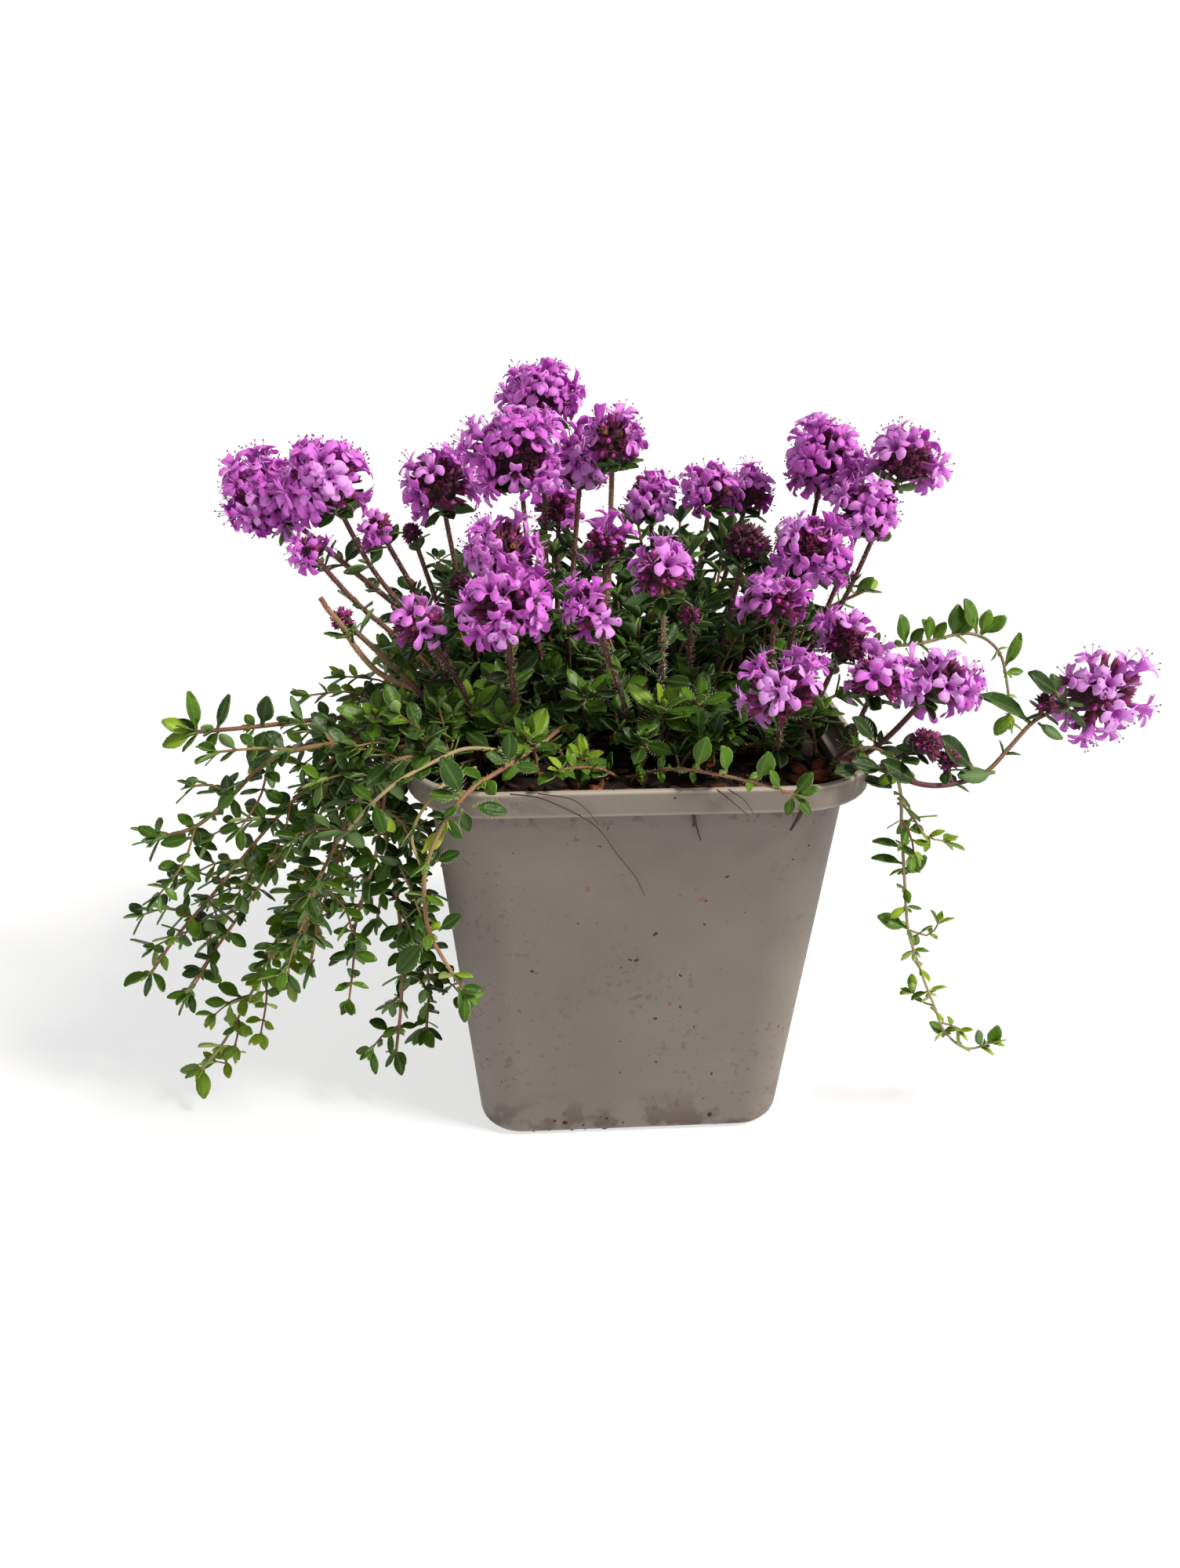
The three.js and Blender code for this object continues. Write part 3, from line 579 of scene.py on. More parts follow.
def lay_hair(foot, out, radius, length):
    """One stiff tapered hair from a point."""
    made = add_shape(bpy.ops.mesh.primitive_cone_add, hair_white, vertices=3, radius1=radius, radius2=0,
                     depth=length)
    turn = Vector(out).normalized().to_track_quat("Z", "Y").to_matrix().to_4x4()
    made.data.transform(Matrix.Translation(foot) @ turn @ Matrix.Translation((0, 0, length * 0.46)))
    return made


def add_attribute(piece, name, rule):
    """Gives each point of a piece a number by a rule."""
    attribute = piece.data.attributes.new(name, "FLOAT", "POINT")
    for point in piece.data.vertices:
        attribute.data[point.index].value = rule(point.co)


def leaf_pattern(outline, columns, crease, curl, twist=0.0, hairs=0):
    """A leaf of length 1 that lies along +Y from its foot, face up."""
    rows = len(outline) - 1
    model(bpy.ops.mesh.primitive_grid_add, x_subdivisions=columns, y_subdivisions=rows,
          size=1, location=(0, 0.5, 0))
    for k, half in enumerate(outline):
        pick_points(lambda co: abs(co.y - k / rows) < 0.01)
        bpy.ops.transform.resize(value=(half * LEAF_WIDTH, 1, 1))
    leaf = close_mesh("leaf", leaf_top, leaf_under)
    add_attribute(leaf, "along", lambda co: co.y)
    add_attribute(leaf, "across", lambda co: min(1, abs(co.x) / (
        LEAF_WIDTH / 2 * max(0.3, outline[round(co.y * rows)]))))

    def form(co):
        half = co.x / (LEAF_WIDTH / 2)
        co.z += crease * abs(half) - 0.06 * half ** 2 - curl * co.y ** 2 - 0.03 * math.exp(-40 * half ** 2)
        co.x += twist * co.z
        return co

    mould(leaf, form)
    modify(leaf, "SOLIDIFY", thickness=LEAF_THICKNESS, offset=-1, material_offset=1)
    parts = [leaf]
    for k in range(hairs):
        side = 1 if k % 2 else -1
        along = 0.12 + 0.5 * k / hairs
        half = LEAF_WIDTH / 2 * np.interp(along, np.linspace(0, 1, rows + 1), outline)
        foot = form(Vector((side * half, along, 0)))
        parts.append(lay_hair(foot, (side, 0.55, 0.25), 0.006, 0.15))
    return keep_as_pattern(join("leaf", parts), LEAF_THICKNESS)


leaf_top = new_material("leaf_top", gloss=0.26, rough=0.42)
leaf_colour = ramp(reading(leaf_top, "tone"), (0.0, rgb(18, 35, 8)), (0.35, rgb(40, 70, 14)),
                   (0.68, rgb(82, 118, 24)), (0.9, rgb(140, 166, 40)), (1.0, rgb(206, 200, 60)))
leaf_colour = grained(leaf_top, leaf_colour, 420, 0.8, 1.16)
# The rib, the edge and the stalk are paler than the blade.
for place, low, high, share, colour in (("across", 0.22, 0.0, 0.15, (150, 182, 92)),
                                        ("across", 0.86, 1.0, 0.24, (168, 190, 112)),
                                        ("along", 0.2, 0.04, 0.6, (150, 150, 80))):
    pale = times(rise(reading(leaf_top, place), low, high), share)
    leaf_colour = blend_colours(pale, leaf_colour, rgb(*colour))
link(leaf_colour, leaf_top)
bump(leaf_top, noise_at(leaf_top, 1500, 2), 0.35, 0.0003)

leaf_under = new_material("leaf_under", rough=0.6, gloss=0.3)
link(ramp(reading(leaf_under, "tone"), (0.0, rgb(56, 78, 42)), (0.5, rgb(100, 130, 72)),
          (1.0, rgb(178, 194, 102))), leaf_under)

hair_white = new_material("hair_white", colour=rgb(214, 212, 190), rough=0.7)

PLANT_SHAPES = {
    "plain": leaf_pattern((0.12, 0.62, 1.0, 0.8, 0.14), 2, crease=0.08, curl=0.08),
    "open": leaf_pattern(OUTLINE, 2, crease=0.06, curl=0.06),
    "hairy": leaf_pattern(OUTLINE, 4, crease=0.05, curl=0.1, twist=0.3, hairs=10),
    "folded": leaf_pattern(OUTLINE, 2, crease=0.16, curl=-0.05, twist=0.5),
    "narrow": leaf_pattern([half * 0.55 for half in OUTLINE], 2, crease=0.1, curl=0.14, twist=0.4),
    "small": leaf_pattern((0.2, 0.8, 0.95, 0.12), 2, crease=0.14, curl=0.05),
}

# Stem hairs
# The flowering stems and the nodes bristle with short pale hairs.
hair = add_shape(bpy.ops.mesh.primitive_cone_add, hair_white, vertices=3, radius1=0.5, radius2=0, depth=1,
                 location=(0, 0.5, 0), rotation=(-math.pi / 2, 0, 0))
PLANT_SHAPES["hairs"] = keep_as_pattern(settle(hair))

# Stems and leaves
# Each plant has rising flower stems, creeping stems that root in the mat or hang over the
# rim, and short leafy shoots. All of them grow from one crown in the soil.
SOIL_LEVEL = 83.0
CROWN_TOP = 84.4
TABLE_GAP = 1.5
LOWEST_TIP = 9
BRIGHTEST = 0.86
# The three pairs of leaves at the tip of a stem: size, spread and added tone.
TIP_PAIRS = ((0.95, 0.8, 0.12), (0.75, 0.45, 0.2), (0.5, 0.18, 0.3))
# Each rising row gives a head's place, width and height, then its stem's bends if it has any.
# Under "leaves" a creeping stem has a leaf's length, the step between pairs and the tuft.
PLANTS = {
    "plant_left": {"root": (-33, -9), "rising": [
        [(-70, -5, 132, 14.5, 18), (-40, -8, 104), (-56, -7, 120)],
        [(-57.2, -15, 137, 16, 16), (-39, -11, 103), (-50, -14, 121)],
        [(-60.2, -21, 126, 7, 6.5), (-40, -13, 100), (-53, -19, 116)],
        [(-48.4, -11.6, 128, 7, 6.5), (-37, -9, 102)]]},
    "plant_front_left": {"root": (-29, -23), "rising": [
        [(-55, -21, 113, 6, 5), (-41, -22, 98)], [(-41, -24, 113, 12, 9), (-33, -22, 98)]]},
    "plant_back_left": {"root": (-27, 9), "rising": [
        [(-38, 12, 131, 16.5, 15)], [(-44.4, 17, 120, 6, 6)]]},
    "plant_centre_left": {"root": (-22, -12), "rising": [
        [(-25.4, -14, 123.4, 15, 14)], [(-25, -31, 118, 17, 11)]]},
    "plant_centre": {"root": (-15, 7), "rising": [
        [(-17, 17, 147.8, 16, 13)], [(-22, -7, 140.4, 19, 17)], [(-9, 11, 136, 12, 12)],
        [(-13, 27, 123, 12, 11)]]},
    "plant_middle": {"root": (-5, -3), "rising": [
        [(-3.8, -2, 142, 13, 13.5)], [(-6, -15, 125, 10.5, 10)]]},
    "plant_front": {"root": (1, -13), "rising": [
        [(-10, -32, 117, 8, 12), (-3, -21, 97)],
        [(2.8, -31, 123.4, 11.5, 12), (4.4, -19, 97), (3.8, -28, 110)]]},
    "plant_centre_right": {"root": (14, 1), "rising": [
        [(24, 1, 121, 12, 10.5)], [(11, -12, 110, 5, 5)]]},
    "plant_back": {"root": (13, 23), "rising": [
        [(7, 29, 125, 12, 10.5)], [(20, 23, 127.4, 12.5, 12.5)], [(29.6, 29, 126, 11, 12)]]},
    "plant_back_right": {"root": (32, 12), "rising": [
        [(43.8, 21, 134, 17.5, 17)], [(57.8, 9, 136, 14, 14)], [(49, 4, 127.4, 15, 12)]]},
    "plant_right": {"root": (28, -5), "rising": [
        [(34.8, -9, 122, 16, 14)], [(26, -21, 115, 13, 9)]]},
    "plant_front_right": {"root": (28, -21), "rising": [
        [(41, -17, 106, 12, 13)], [(25, -36, 102.4, 17, 9.4)]]},
    "plant_corner": {"tone": 0.34, "branching": 0.1, "root": (34, -30), "rising": [
        [(43, -34, 104, 13, 11)], [(55, -33, 103, 13, 12)], [(50, -43, 95, 8, 8)]],
     "creeping": [
        {"points": [(38, -36, 89.5), (43, -43, 90), (49, -46, 88.5), (56, -44, 87.5), (63, -41, 88.5),
            (68, -38, 92), (73, -36, 96.5)], "head": (86, -32, 100, 13, 21.5), "leaves": (3.2, 13, 0),
            "branching": 0, "line": "flower_stems"},
        {"points": [(40, -34, 90.5), (45, -35, 90.3), (48.5, -36, 84), (50.5, -35, 74), (52.5, -35, 62),
            (55, -34, 50), (59, -33, 40), (63, -33, 31), (67, -32, 23), (73, -31, 18), (78, -31, 19.5)],
            "leaves": (4.2, 5.4, 2), "radius": 0.36, "branching": 0, "line": "tan_stems", "tone": 0.62}]},
    "creeper_front_rim": {"tone": 0.42, "branching": 0.12, "root": (-10, -13), "creeping": [
        {"points": [(-13, -18, 89.5), (-19, -30, 91), (-26, -42, 91.5), (-32.5, -49, 89.8),
            (-37, -51, 84), (-40, -51, 76), (-40.5, -50, 68), (-40, -49, 62), (-37, -48, 54),
            (-34, -47.5, 48)], "leaves": (5.4, 9.0, 3), "radius": 0.5}]},
    "creeper_front": {"tone": 0.46, "root": (-3, -27), "creeping": [
        {"points": [(1, -35, 87), (6, -42, 90.6), (14, -46.5, 91), (21, -49.5, 90.2), (25, -50.5, 89)],
            "leaves": (3.0, 4.6, 1), "radius": 0.36, "branching": 0},
        {"points": [(-8, -33, 87), (-14, -38, 89.5), (-16, -43, 91)], "leaves": (4.8, 5, 1),
            "radius": 0.4, "branching": 0}]},
    "creeper_right_back": {"tone": 0.62, "root": (35, 23), "creeping": [
        {"points": [(40, 22, 91), (46, 18, 93.5), (54, 14, 94.5), (65, 11, 96), (77, 10, 98.5),
            (83, 9, 95), (86, 8, 87), (88, 8, 78)], "leaves": (3.6, 4.8, 1), "branching": 0,
            "radius": 0.44, "line": "tan_stems"},
        {"points": [(39, 27, 92), (48, 27, 99), (57, 26, 104)], "leaves": (5.2, 5.2, 1),
            "branching": 0}]},
    "creeper_left_high": {"tone": 0.22, "branching": 0.4, "root": (-34, -16), "creeping": [
        {"points": [(-39, -16, 90), (-46, -16, 91.5), (-53, -17, 92), (-62, -18, 92), (-74, -20, 91.5),
            (-84, -22, 91.5)], "leaves": (5.6, 6.4, 2), "branching": 0},
        {"points": [(-39, -19, 89.5), (-45, -23, 90.3), (-52, -25, 90.5), (-60, -26, 90), (-70, -25, 87),
            (-79, -22, 78), (-87, -21, 71), (-95, -20, 68)]}]},
    "creeper_left_middle": {"tone": 0.31, "radius": 0.44, "branching": 0.8, "root": (-34, 0), "creeping": [
        {"points": [(-39.5, -2.5, 89), (-46, -7, 90), (-53, -12, 88), (-62, -15, 80), (-74, -16, 68),
            (-86, -17, 54), (-95, -18, 44), (-101, -19, 36)]},
        {"points": [(-39, 0, 90.5), (-47, -2, 90.5), (-56, -5, 85), (-66, -8, 70), (-78, -10, 52),
            (-89, -12, 37), (-96, -12, 27)]},
        {"points": [(-39, 3, 90), (-45.5, 4, 90.8), (-49.5, 3, 82), (-48, -4, 62), (-46, -7, 42),
            (-44, -10, 26), (-45, -11, 14)]}]},
    "creeper_left_low": {"tone": 0.64, "radius": 0.44, "branching": 0.8, "root": (-34, 12), "creeping": [
        {"points": [(-39, 9, 90.2), (-46, 7, 91), (-54, 2, 85), (-64, -2, 68), (-71, -5, 50),
            (-77, -8, 36), (-84, -12, 23), (-90, -16, 14), (-94, -18, 10)], "line": "tan_stems"},
        {"points": [(-39, 13, 90), (-46, 13, 91.2), (-54, 10, 82), (-62, 6, 62), (-67, 1, 44),
            (-73, -2, 29)]}]},
    "creeper_left_front": {"tone": 0.25, "radius": 0.46, "branching": 0.8, "root": (-34, -29), "creeping": [
        {"points": [(-39, -33, 89.8), (-45.5, -35.5, 90.6), (-52, -36, 84), (-58, -35, 73),
            (-63, -33, 62), (-66, -31, 52)]},
        {"points": [(-39, -29, 90), (-46, -28, 91.2), (-50, -26, 80), (-48.5, -24, 60), (-48, -23, 44),
            (-49, -22, 29), (-51, -21, 15)]}]},
    "mat_back_left": {"root": (-24, 29), "creeping": [
        {"points": [(-33, 33, 87), (-41, 37, 90), (-49, 39, 88.5), (-54, 40, 78), (-57, 39, 66)]},
        {"points": [(-26, 37, 88), (-27, 44, 90), (-28, 50, 87), (-29, 52, 76), (-31, 51, 66)]}]},
    "mat_back_right": {"root": (12, 33.5), "creeping": [
        {"points": [(20, 40, 88), (25, 46, 90), (28, 51, 86), (29, 52, 76)]},
        {"points": [(2, 38, 88), (-5, 44, 90), (-8, 49, 89)]}]},
}


# No stem runs this way, so it tells where a stem's side is.
ASIDE = Vector((0.31, 0.95, 0.07))


class Way:
    """A smooth line through given points, measured along its length in mm."""

    def __init__(self, points, step=1.0):
        knots = [np.array(point, float) for point in points]
        # A point more at either end lets the line start and end straight.
        knots = [2 * knots[0] - knots[1], *knots, 2 * knots[-1] - knots[-2]]
        line = []
        for a, b, c, d in zip(knots, knots[1:], knots[2:], knots[3:]):
            near, mid, far = (max(np.linalg.norm(q - p), 1e-6) ** 0.5 for p, q in ((a, b), (b, c), (c, d)))
            leave = ((b - a) / near - (c - a) / (near + mid) + (c - b) / mid) * mid
            arrive = ((c - b) / mid - (d - b) / (mid + far) + (d - c) / far) * mid
            for t in np.linspace(0, 1, 12, endpoint=False):
                line.append((2 * t**3 - 3 * t**2 + 1) * b + (t**3 - 2 * t**2 + t) * leave
                            + (3 * t**2 - 2 * t**3) * c + (t**3 - t**2) * arrive)
        line.append(knots[-2])
        line = np.array(line)
        marks = np.r_[0, np.cumsum(np.linalg.norm(np.diff(line, axis=0), axis=1))]
        self.length = marks[-1]
        count = max(3, round(self.length / step) + 1)
        stops = np.linspace(0, self.length, count)
        self.points = np.c_[[np.interp(stops, marks, line[:, axis]) for axis in range(3)]].T

    def at(self, distance):
        """The point, the heading and a side at a distance along the line."""
        place = np.clip(distance / self.length, 0, 1) * (len(self.points) - 1)
        k = min(int(place), len(self.points) - 2)
        point = self.points[k] + (self.points[k + 1] - self.points[k]) * (place - k)
        ahead = Vector(self.points[k + 1] - self.points[k]).normalized()
        side = (ASIDE - ahead * ASIDE.dot(ahead)).normalized()
        return Vector(point), ahead, side


def jitter(rng, reach):
    """A random step, at most so far along each axis."""
    return Vector([rng.uniform(-reach, reach) for _ in range(3)])


def spoke(ahead, side, angle):
    """A direction square to a stem, at an angle round it."""
    return side * math.cos(angle) + ahead.cross(side) * math.sin(angle)


def grow_leaf(plant, rng, root, out, face, length, tone, kinds):
    """Adds a leaf that points out, with its upper side turned to face, if it clears the table."""
    if min(root.z, root.z + out.normalized().z * length * 1.2) < TABLE_GAP:
        return
    lean = jitter(rng, 0.3)
    axes = facing(out + lean * 0.7, face + lean)
    size = length * rng.uniform(0.85, 1.15)
    kind = "small" if length < 3.6 else rng.choice(kinds)
    scale = (size * rng.uniform(0.9, 1.12), size, size)
    tone = min(BRIGHTEST, max(0, tone + rng.uniform(-0.19, 0.19)))
    plant[kind].append((placed(root, axes, scale), tone))


def leaf_pair(plant, rng, way, distance, turn, length, tone, tuft, kinds, roll=0.0):
    """Two opposite leaves, rolled at random, with a tuft of small ones in each axil."""
    point, ahead, side = way.at(distance)
    out = spoke(ahead, side, turn)
    flat = 0.45 * abs(ahead.xy.length)
    for way_out in (out, -out):
        face = UP * 0.9 + ahead * 0.5
        if roll:
            face += jitter(rng, roll)
        way_out = (way_out - UP * way_out.dot(UP) * flat + ahead * 0.45 + UP * 0.12).normalized()
        grow_leaf(plant, rng, point, way_out, face, length, tone, kinds)
        for _ in range(tuft):
            young = way_out * 0.8 + ahead * 0.7 + jitter(rng, 0.5)
            grow_leaf(plant, rng, point + ahead * 0.5, young, face, length * rng.uniform(0.34, 0.56),
                      tone + 0.1, ("folded",))


def leafy_stem(plant, rng, points, radius, leaf, step, tone, tuft=2, first=3.0, side_shoots=0.0,
               tip=True, kinds=("open", "folded", "open"), line="twigs"):
    """A stem with its leaves, which ends in a tight bunch of young ones if it has a tip.

    leaf is the length of a leaf, step the way from pair to pair, first the bare foot, tuft
    how many small leaves sit in an axil, and side_shoots the chance of a shoot at a pair."""
    way = Way(points, 2.2 if line == "twigs" else 1.0)
    plant[line].append((way.points, radius, radius * 0.7))
    turn = rng.uniform(0, math.pi)
    distance = first
    while distance < way.length - 1.5:
        share = distance / way.length
        length = leaf * rng.uniform(0.82, 1.1) * (1.08 - 0.35 * share if tip else 1)
        leaf_pair(plant, rng, way, distance, turn, length, tone + (0.38 * share ** 2 if tip else 0), tuft,
                  kinds)
        if rng.random() < side_shoots:
            point, ahead, side = way.at(distance)
            out = spoke(ahead, side, turn) * rng.choice((-1, 1))
            reach = rng.uniform(5, 13)
            heading = (out * 0.8 + ahead * 0.7 + UP * 0.25).normalized()
            end = point + heading * reach + ahead * reach * 0.35
            end.z = max(end.z, LOWEST_TIP)
            leafy_stem(plant, rng, [point, point + heading * reach * 0.6, end], max(0.28, radius * 0.6),
                       leaf * 0.82, 3.2, tone + 0.08, tuft=0, first=2.2)
        turn += math.pi / 2
        distance += step * rng.uniform(0.8, 1.2)
    if not tip:
        return way
    point, ahead, side = way.at(way.length)
    for k in range(6):
        size, spread, brighter = TIP_PAIRS[k // 2]
        out = spoke(ahead, side, turn + k * math.pi + (k // 2) * math.pi / 2)
        grow_leaf(plant, rng, point - ahead * 0.3, ahead + out * spread * 1.3, UP * 0.9 + ahead * 0.5,
                  leaf * size, tone + brighter, kinds)
    return way


def bristle(plant, rng, way, radius, start, end, per_mm, length):
    """Short hairs all round a stretch of stem."""
    for _ in range(int((end - start) * per_mm)):
        point, ahead, side = way.at(rng.uniform(start, end))
        out = spoke(ahead, side, rng.uniform(0, 2 * math.pi))
        out = (out + ahead * rng.uniform(-0.5, 0.3)).normalized()
        size = (0.1, length * rng.uniform(0.6, 1.3), 0.1)
        plant["hairs"].append((placed(point + out * radius * 0.8, facing(out, ahead), size), 0.5))


def stem_material(name, rough, *stops):
    """Thin bark, mottled along the stem and finely rough."""
    made = new_material(name, rough=rough, gloss=0.3)
    link(ramp(noise_at(made, 60, 3), *((position, rgb(*colour)) for position, colour in stops)), made)
    bump(made, noise_at(made, 1200, 3), 0.5, 0.0003)
    return made


stem_bark = stem_material("stem_bark", 0.6, (0.34, (98, 60, 50)), (0.48, (136, 94, 70)),
                          (0.64, (150, 128, 84)))
flower_stem = stem_material("flower_stem", 0.65, (0.35, (66, 34, 40)), (0.5, (98, 58, 54)),
                            (0.68, (118, 92, 62)))
tan_stem = stem_material("tan_stem", 0.65, (0.35, (126, 106, 92)), (0.5, (152, 134, 108)),
                         (0.65, (164, 148, 96)))


def draw_stems(name, stems, material, roundness=1):
    """Tubes along the stems' lines, a little thinner at the tip, as one mesh."""
    curve = bpy.data.curves.new(name, "CURVE")
    curve.dimensions = "3D"
    curve.bevel_depth = MM
    curve.bevel_resolution = roundness
    curve.use_fill_caps = True
    for points, foot, tip in stems:
        spline = curve.splines.new("POLY")
        spline.points.add(len(points) - 1)
        for k, point in enumerate(points):
            spline.points[k].co = (*(Vector(point) * MM), 1)
            spline.points[k].radius = foot + (tip - foot) * k / (len(points) - 1)
    made = bpy.data.objects.new(name, curve)
    bpy.context.scene.collection.objects.link(made)
    curve.materials.append(material)
    select_only(made)
    bpy.ops.object.convert(target="MESH")
    bpy.ops.object.shade_smooth()
    return bpy.context.object


STEM_MATERIALS = {"stems": stem_bark, "twigs": stem_bark, "flower_stems": flower_stem,
                  "tan_stems": tan_stem}
# Where a plain rising stem bends, in shares of its way across and up.
BOW = Vector((0.55, 0.55, 0.38))
heads = []
garden = {}
for number, (name, plant) in enumerate(PLANTS.items()):
    rng = random.Random(100 + number)
    parts = {key: [] for key in (*STEM_MATERIALS, *PLANT_SHAPES)}
    garden[name] = parts
    x, y = plant["root"]
    foot = Vector((x, y, CROWN_TOP - 1.5))
    rising = [{"head": head, "bends": bends} for head, *bends in plant.get("rising", [])]
    for stem in rising + plant.get("creeping", []):
        head = stem.get("head")
        creeping = "points" in stem
        path = stem["points"] if creeping else stem["bends"]
        if not path:
            crown = Vector((x, y, SOIL_LEVEL))
            path = [crown + (Vector(head[:3]) - crown) * BOW]
        first = Vector(path[0])
        start = foot + (Vector((first.x - x, first.y - y, 0)).normalized() * 1.6)
        points = [start, *path]
        if head:
            centre = Vector(head[:3])
            before = Vector(path[-1])
            if not creeping:
                before = before.lerp(centre, 0.3)
            axis = (centre - before).normalized()
            points.append(centre - axis * head[4] * 0.22)
            heads.append({"centre": centre, "axis": axis, "width": head[3], "height": head[4]})
        if creeping:
            leaf, step, tuft = stem.get("leaves", (6.4, 6.0, 3))
            radius = stem.get("radius", plant.get("radius", 0.57))
            tone = stem.get("tone", plant.get("tone", 0.34))
            way = leafy_stem(parts, rng, points, radius, leaf, step, tone, tuft=tuft, first=4,
                             side_shoots=stem.get("branching", plant.get("branching", 0.2)),
                             tip=head is None, line=stem.get("line", "stems"))
            bristle(parts, rng, way, radius * 0.85, 4, way.length, 2.0, 0.55)
        else:
            way = Way(points)
            parts["flower_stems"].append((way.points, 0.6, 0.5))
            turn = rng.uniform(0, math.pi)
            distance = way.length - rng.uniform(2.6, 3.4)
            while distance > 5:
                lower = 1 - distance / way.length
                leaf_pair(parts, rng, way, distance, turn, rng.uniform(4.4, 5.6) + 2.2 * lower,
                          rng.uniform(0.08, 0.32), 1, ("hairy", "open"), 0.8)
                turn += math.pi / 2
                distance -= rng.uniform(9, 13) - 4 * lower
            bristle(parts, rng, way, 0.55, 4, way.length, 7, 0.95)

# Leaves that stand out, by plant and shape: base, tip and tone.
LONE_LEAVES = {
    ("creeper_front_rim", "hairy"): [
        (-31.3, -52, 89.1, -25.4, -52.3, 88.1, 0.36), (-38.3, -51, 77.9, -34.1, -51.5, 79.9, 0.26),
        (-38.4, -50, 63.2, -34.5, -50.5, 66.6, 0.36), (-41, -49, 60.2, -47, -49.5, 54.4, 0.42),
        (-35.4, -48, 49.4, -33, -48.4, 44.4, 0.5), (-33, -50, 90, -35.5, -50.6, 97.5, 0.3),
        (-33.6, -50.4, 89.8, -38.5, -51, 91.5, 0.46), (-33.6, -50.6, 88.6, -36.4, -51.4, 87, 0.42),
        (-33.2, -51, 88, -32, -51.6, 83.8, 0.4), (-25, -42.6, 92.6, -28.6, -43.4, 95.4, 0.4),
        (-25, -42.6, 92.6, -24.4, -43, 98.4, 0.34), (-24.4, -42.4, 92.4, -19.6, -43.6, 92, 0.42)],
    ("creeper_front_rim", "open"): [
        (-35.1, -48, 49.4, -30.8, -48.4, 49, 0.4), (-40.6, -50.6, 79.5, -36.8, -50.6, 83.3, 0.95)],
    ("creeper_left_front", "open"): [
        (-48.5, -36, 76, -49.5, -36.4, 80.6, 0.94), (-41.4, -34.2, 90.7, -40.6, -41.6, 90.2, 0.34)],
    ("creeper_left_front", "folded"): [(-49, -35.6, 80, -46.5, -36, 76.5, 0.88)],
    ("creeper_left_front", "hairy"): [
        (-42.6, -34.6, 90.9, -45.4, -41.6, 89.2, 0.26), (-45.6, -35.6, 90.6, -50.6, -39.8, 88.4, 0.3)],
    ("creeper_left_high", "open"): [
        (-84.5, -22, 91.5, -90.8, -22.6, 89.3, 0.8), (-84.5, -22, 91.5, -89.9, -22.6, 94.4, 0.84),
        (-80, -21.4, 91.4, -83, -22, 88, 0.4), (-74.6, -25, 83.8, -71, -24.4, 92, 0.3),
        (-77.5, -23, 80, -82, -23, 76, 0.6), (-79.6, -22.4, 77.4, -79.4, -22.6, 82.4, 0.14)],
    ("creeper_left_high", "narrow"): [
        (-84, -22, 91.6, -83.9, -22.4, 99.4, 0.62), (-80.5, -21.4, 91.5, -77.6, -22, 98.4, 0.3)],
    ("creeper_left_high", "folded"): [(-72.2, -20, 91.8, -70.4, -20.6, 98, 0.3)],
    ("plant_corner", "open"): [
        (60.2, -42.2, 89.6, 53.1, -43.4, 96.7, 0.14), (49, -45.4, 88.4, 41.8, -46, 93.4, 0.12),
        (77.4, -35, 101, 70.8, -36, 106.1, 0.16), (54.7, -34, 51, 48.6, -34, 54, 0.6),
        (52.2, -34.5, 63.5, 56, -35, 67.8, 0.54), (67.3, -31.8, 22.4, 63.7, -31, 25.4, 0.6)],
    ("plant_corner", "hairy"): [
        (43, -43, 90, 36.9, -44, 93, 0.16), (42.3, -38, 93.9, 38.2, -39, 99.2, 0.2),
        (38.6, -42, 90, 33.6, -45, 91.4, 0.18)],
    ("plant_corner", "narrow"): [
        (72.4, -36, 96.2, 62.8, -37, 103.5, 0.3), (51.2, -35, 70, 45.6, -34.4, 72, 0.5),
        (51.8, -35, 66.4, 45.8, -34.4, 68.4, 0.5)],
    ("plant_corner", "folded"): [(77, -31, 19, 78.4, -31, 24, 0.65)],
    ("creeper_front", "open"): [
        (8.5, -43.6, 91.4, 10, -44, 97.4, 0.5), (22.5, -50, 90, 20.5, -50.4, 93.8, 0.54),
        (25, -50.6, 89.2, 27.5, -51, 93.4, 0.44), (25, -50.6, 89.2, 29, -51, 90.6, 0.5),
        (25, -50.8, 89, 28, -51.6, 86, 0.46), (24.6, -50.8, 89, 23.6, -51.6, 85.6, 0.5)],
    ("creeper_front", "folded"): [
        (13.5, -46.4, 91.6, 12, -46.8, 97, 0.56), (18.8, -48.6, 91.2, 20, -49, 96.8, 0.52)],
    ("creeper_right_back", "open"): [
        (63, 11.4, 95.6, 61.5, 11, 102.6, 0.56), (63.5, 11.4, 95.8, 66.2, 11, 99.6, 0.62),
        (68, 10.8, 96.6, 67.6, 10.6, 102.2, 0.66), (68.6, 10.8, 96.6, 71, 10.6, 101, 0.72),
        (73, 10.2, 97.8, 73.4, 10, 105, 0.54), (73.6, 10.2, 97.8, 77, 10, 102.6, 0.64),
        (78.4, 10, 98.6, 75, 10, 106.4, 0.6), (79, 10, 98.4, 80.4, 10, 103.8, 0.7),
        (85.2, 8.4, 90, 89.4, 8.6, 90.4, 0.66), (87.6, 8, 80.5, 85, 8, 75, 0.72),
        (54.5, 25.8, 103.4, 58.2, 25, 107.4, 0.58), (54.5, 25.8, 103.4, 51.6, 25, 107, 0.6)],
    ("creeper_right_back", "folded"): [
        (68, 10.8, 96.6, 65.6, 10.6, 101.6, 0.6), (79, 10, 98.4, 84, 10, 102.4, 0.68)],
    ("creeper_right_back", "narrow"): [(84.9, 8.5, 91, 88, 8.6, 98.6, 0.66)],
}
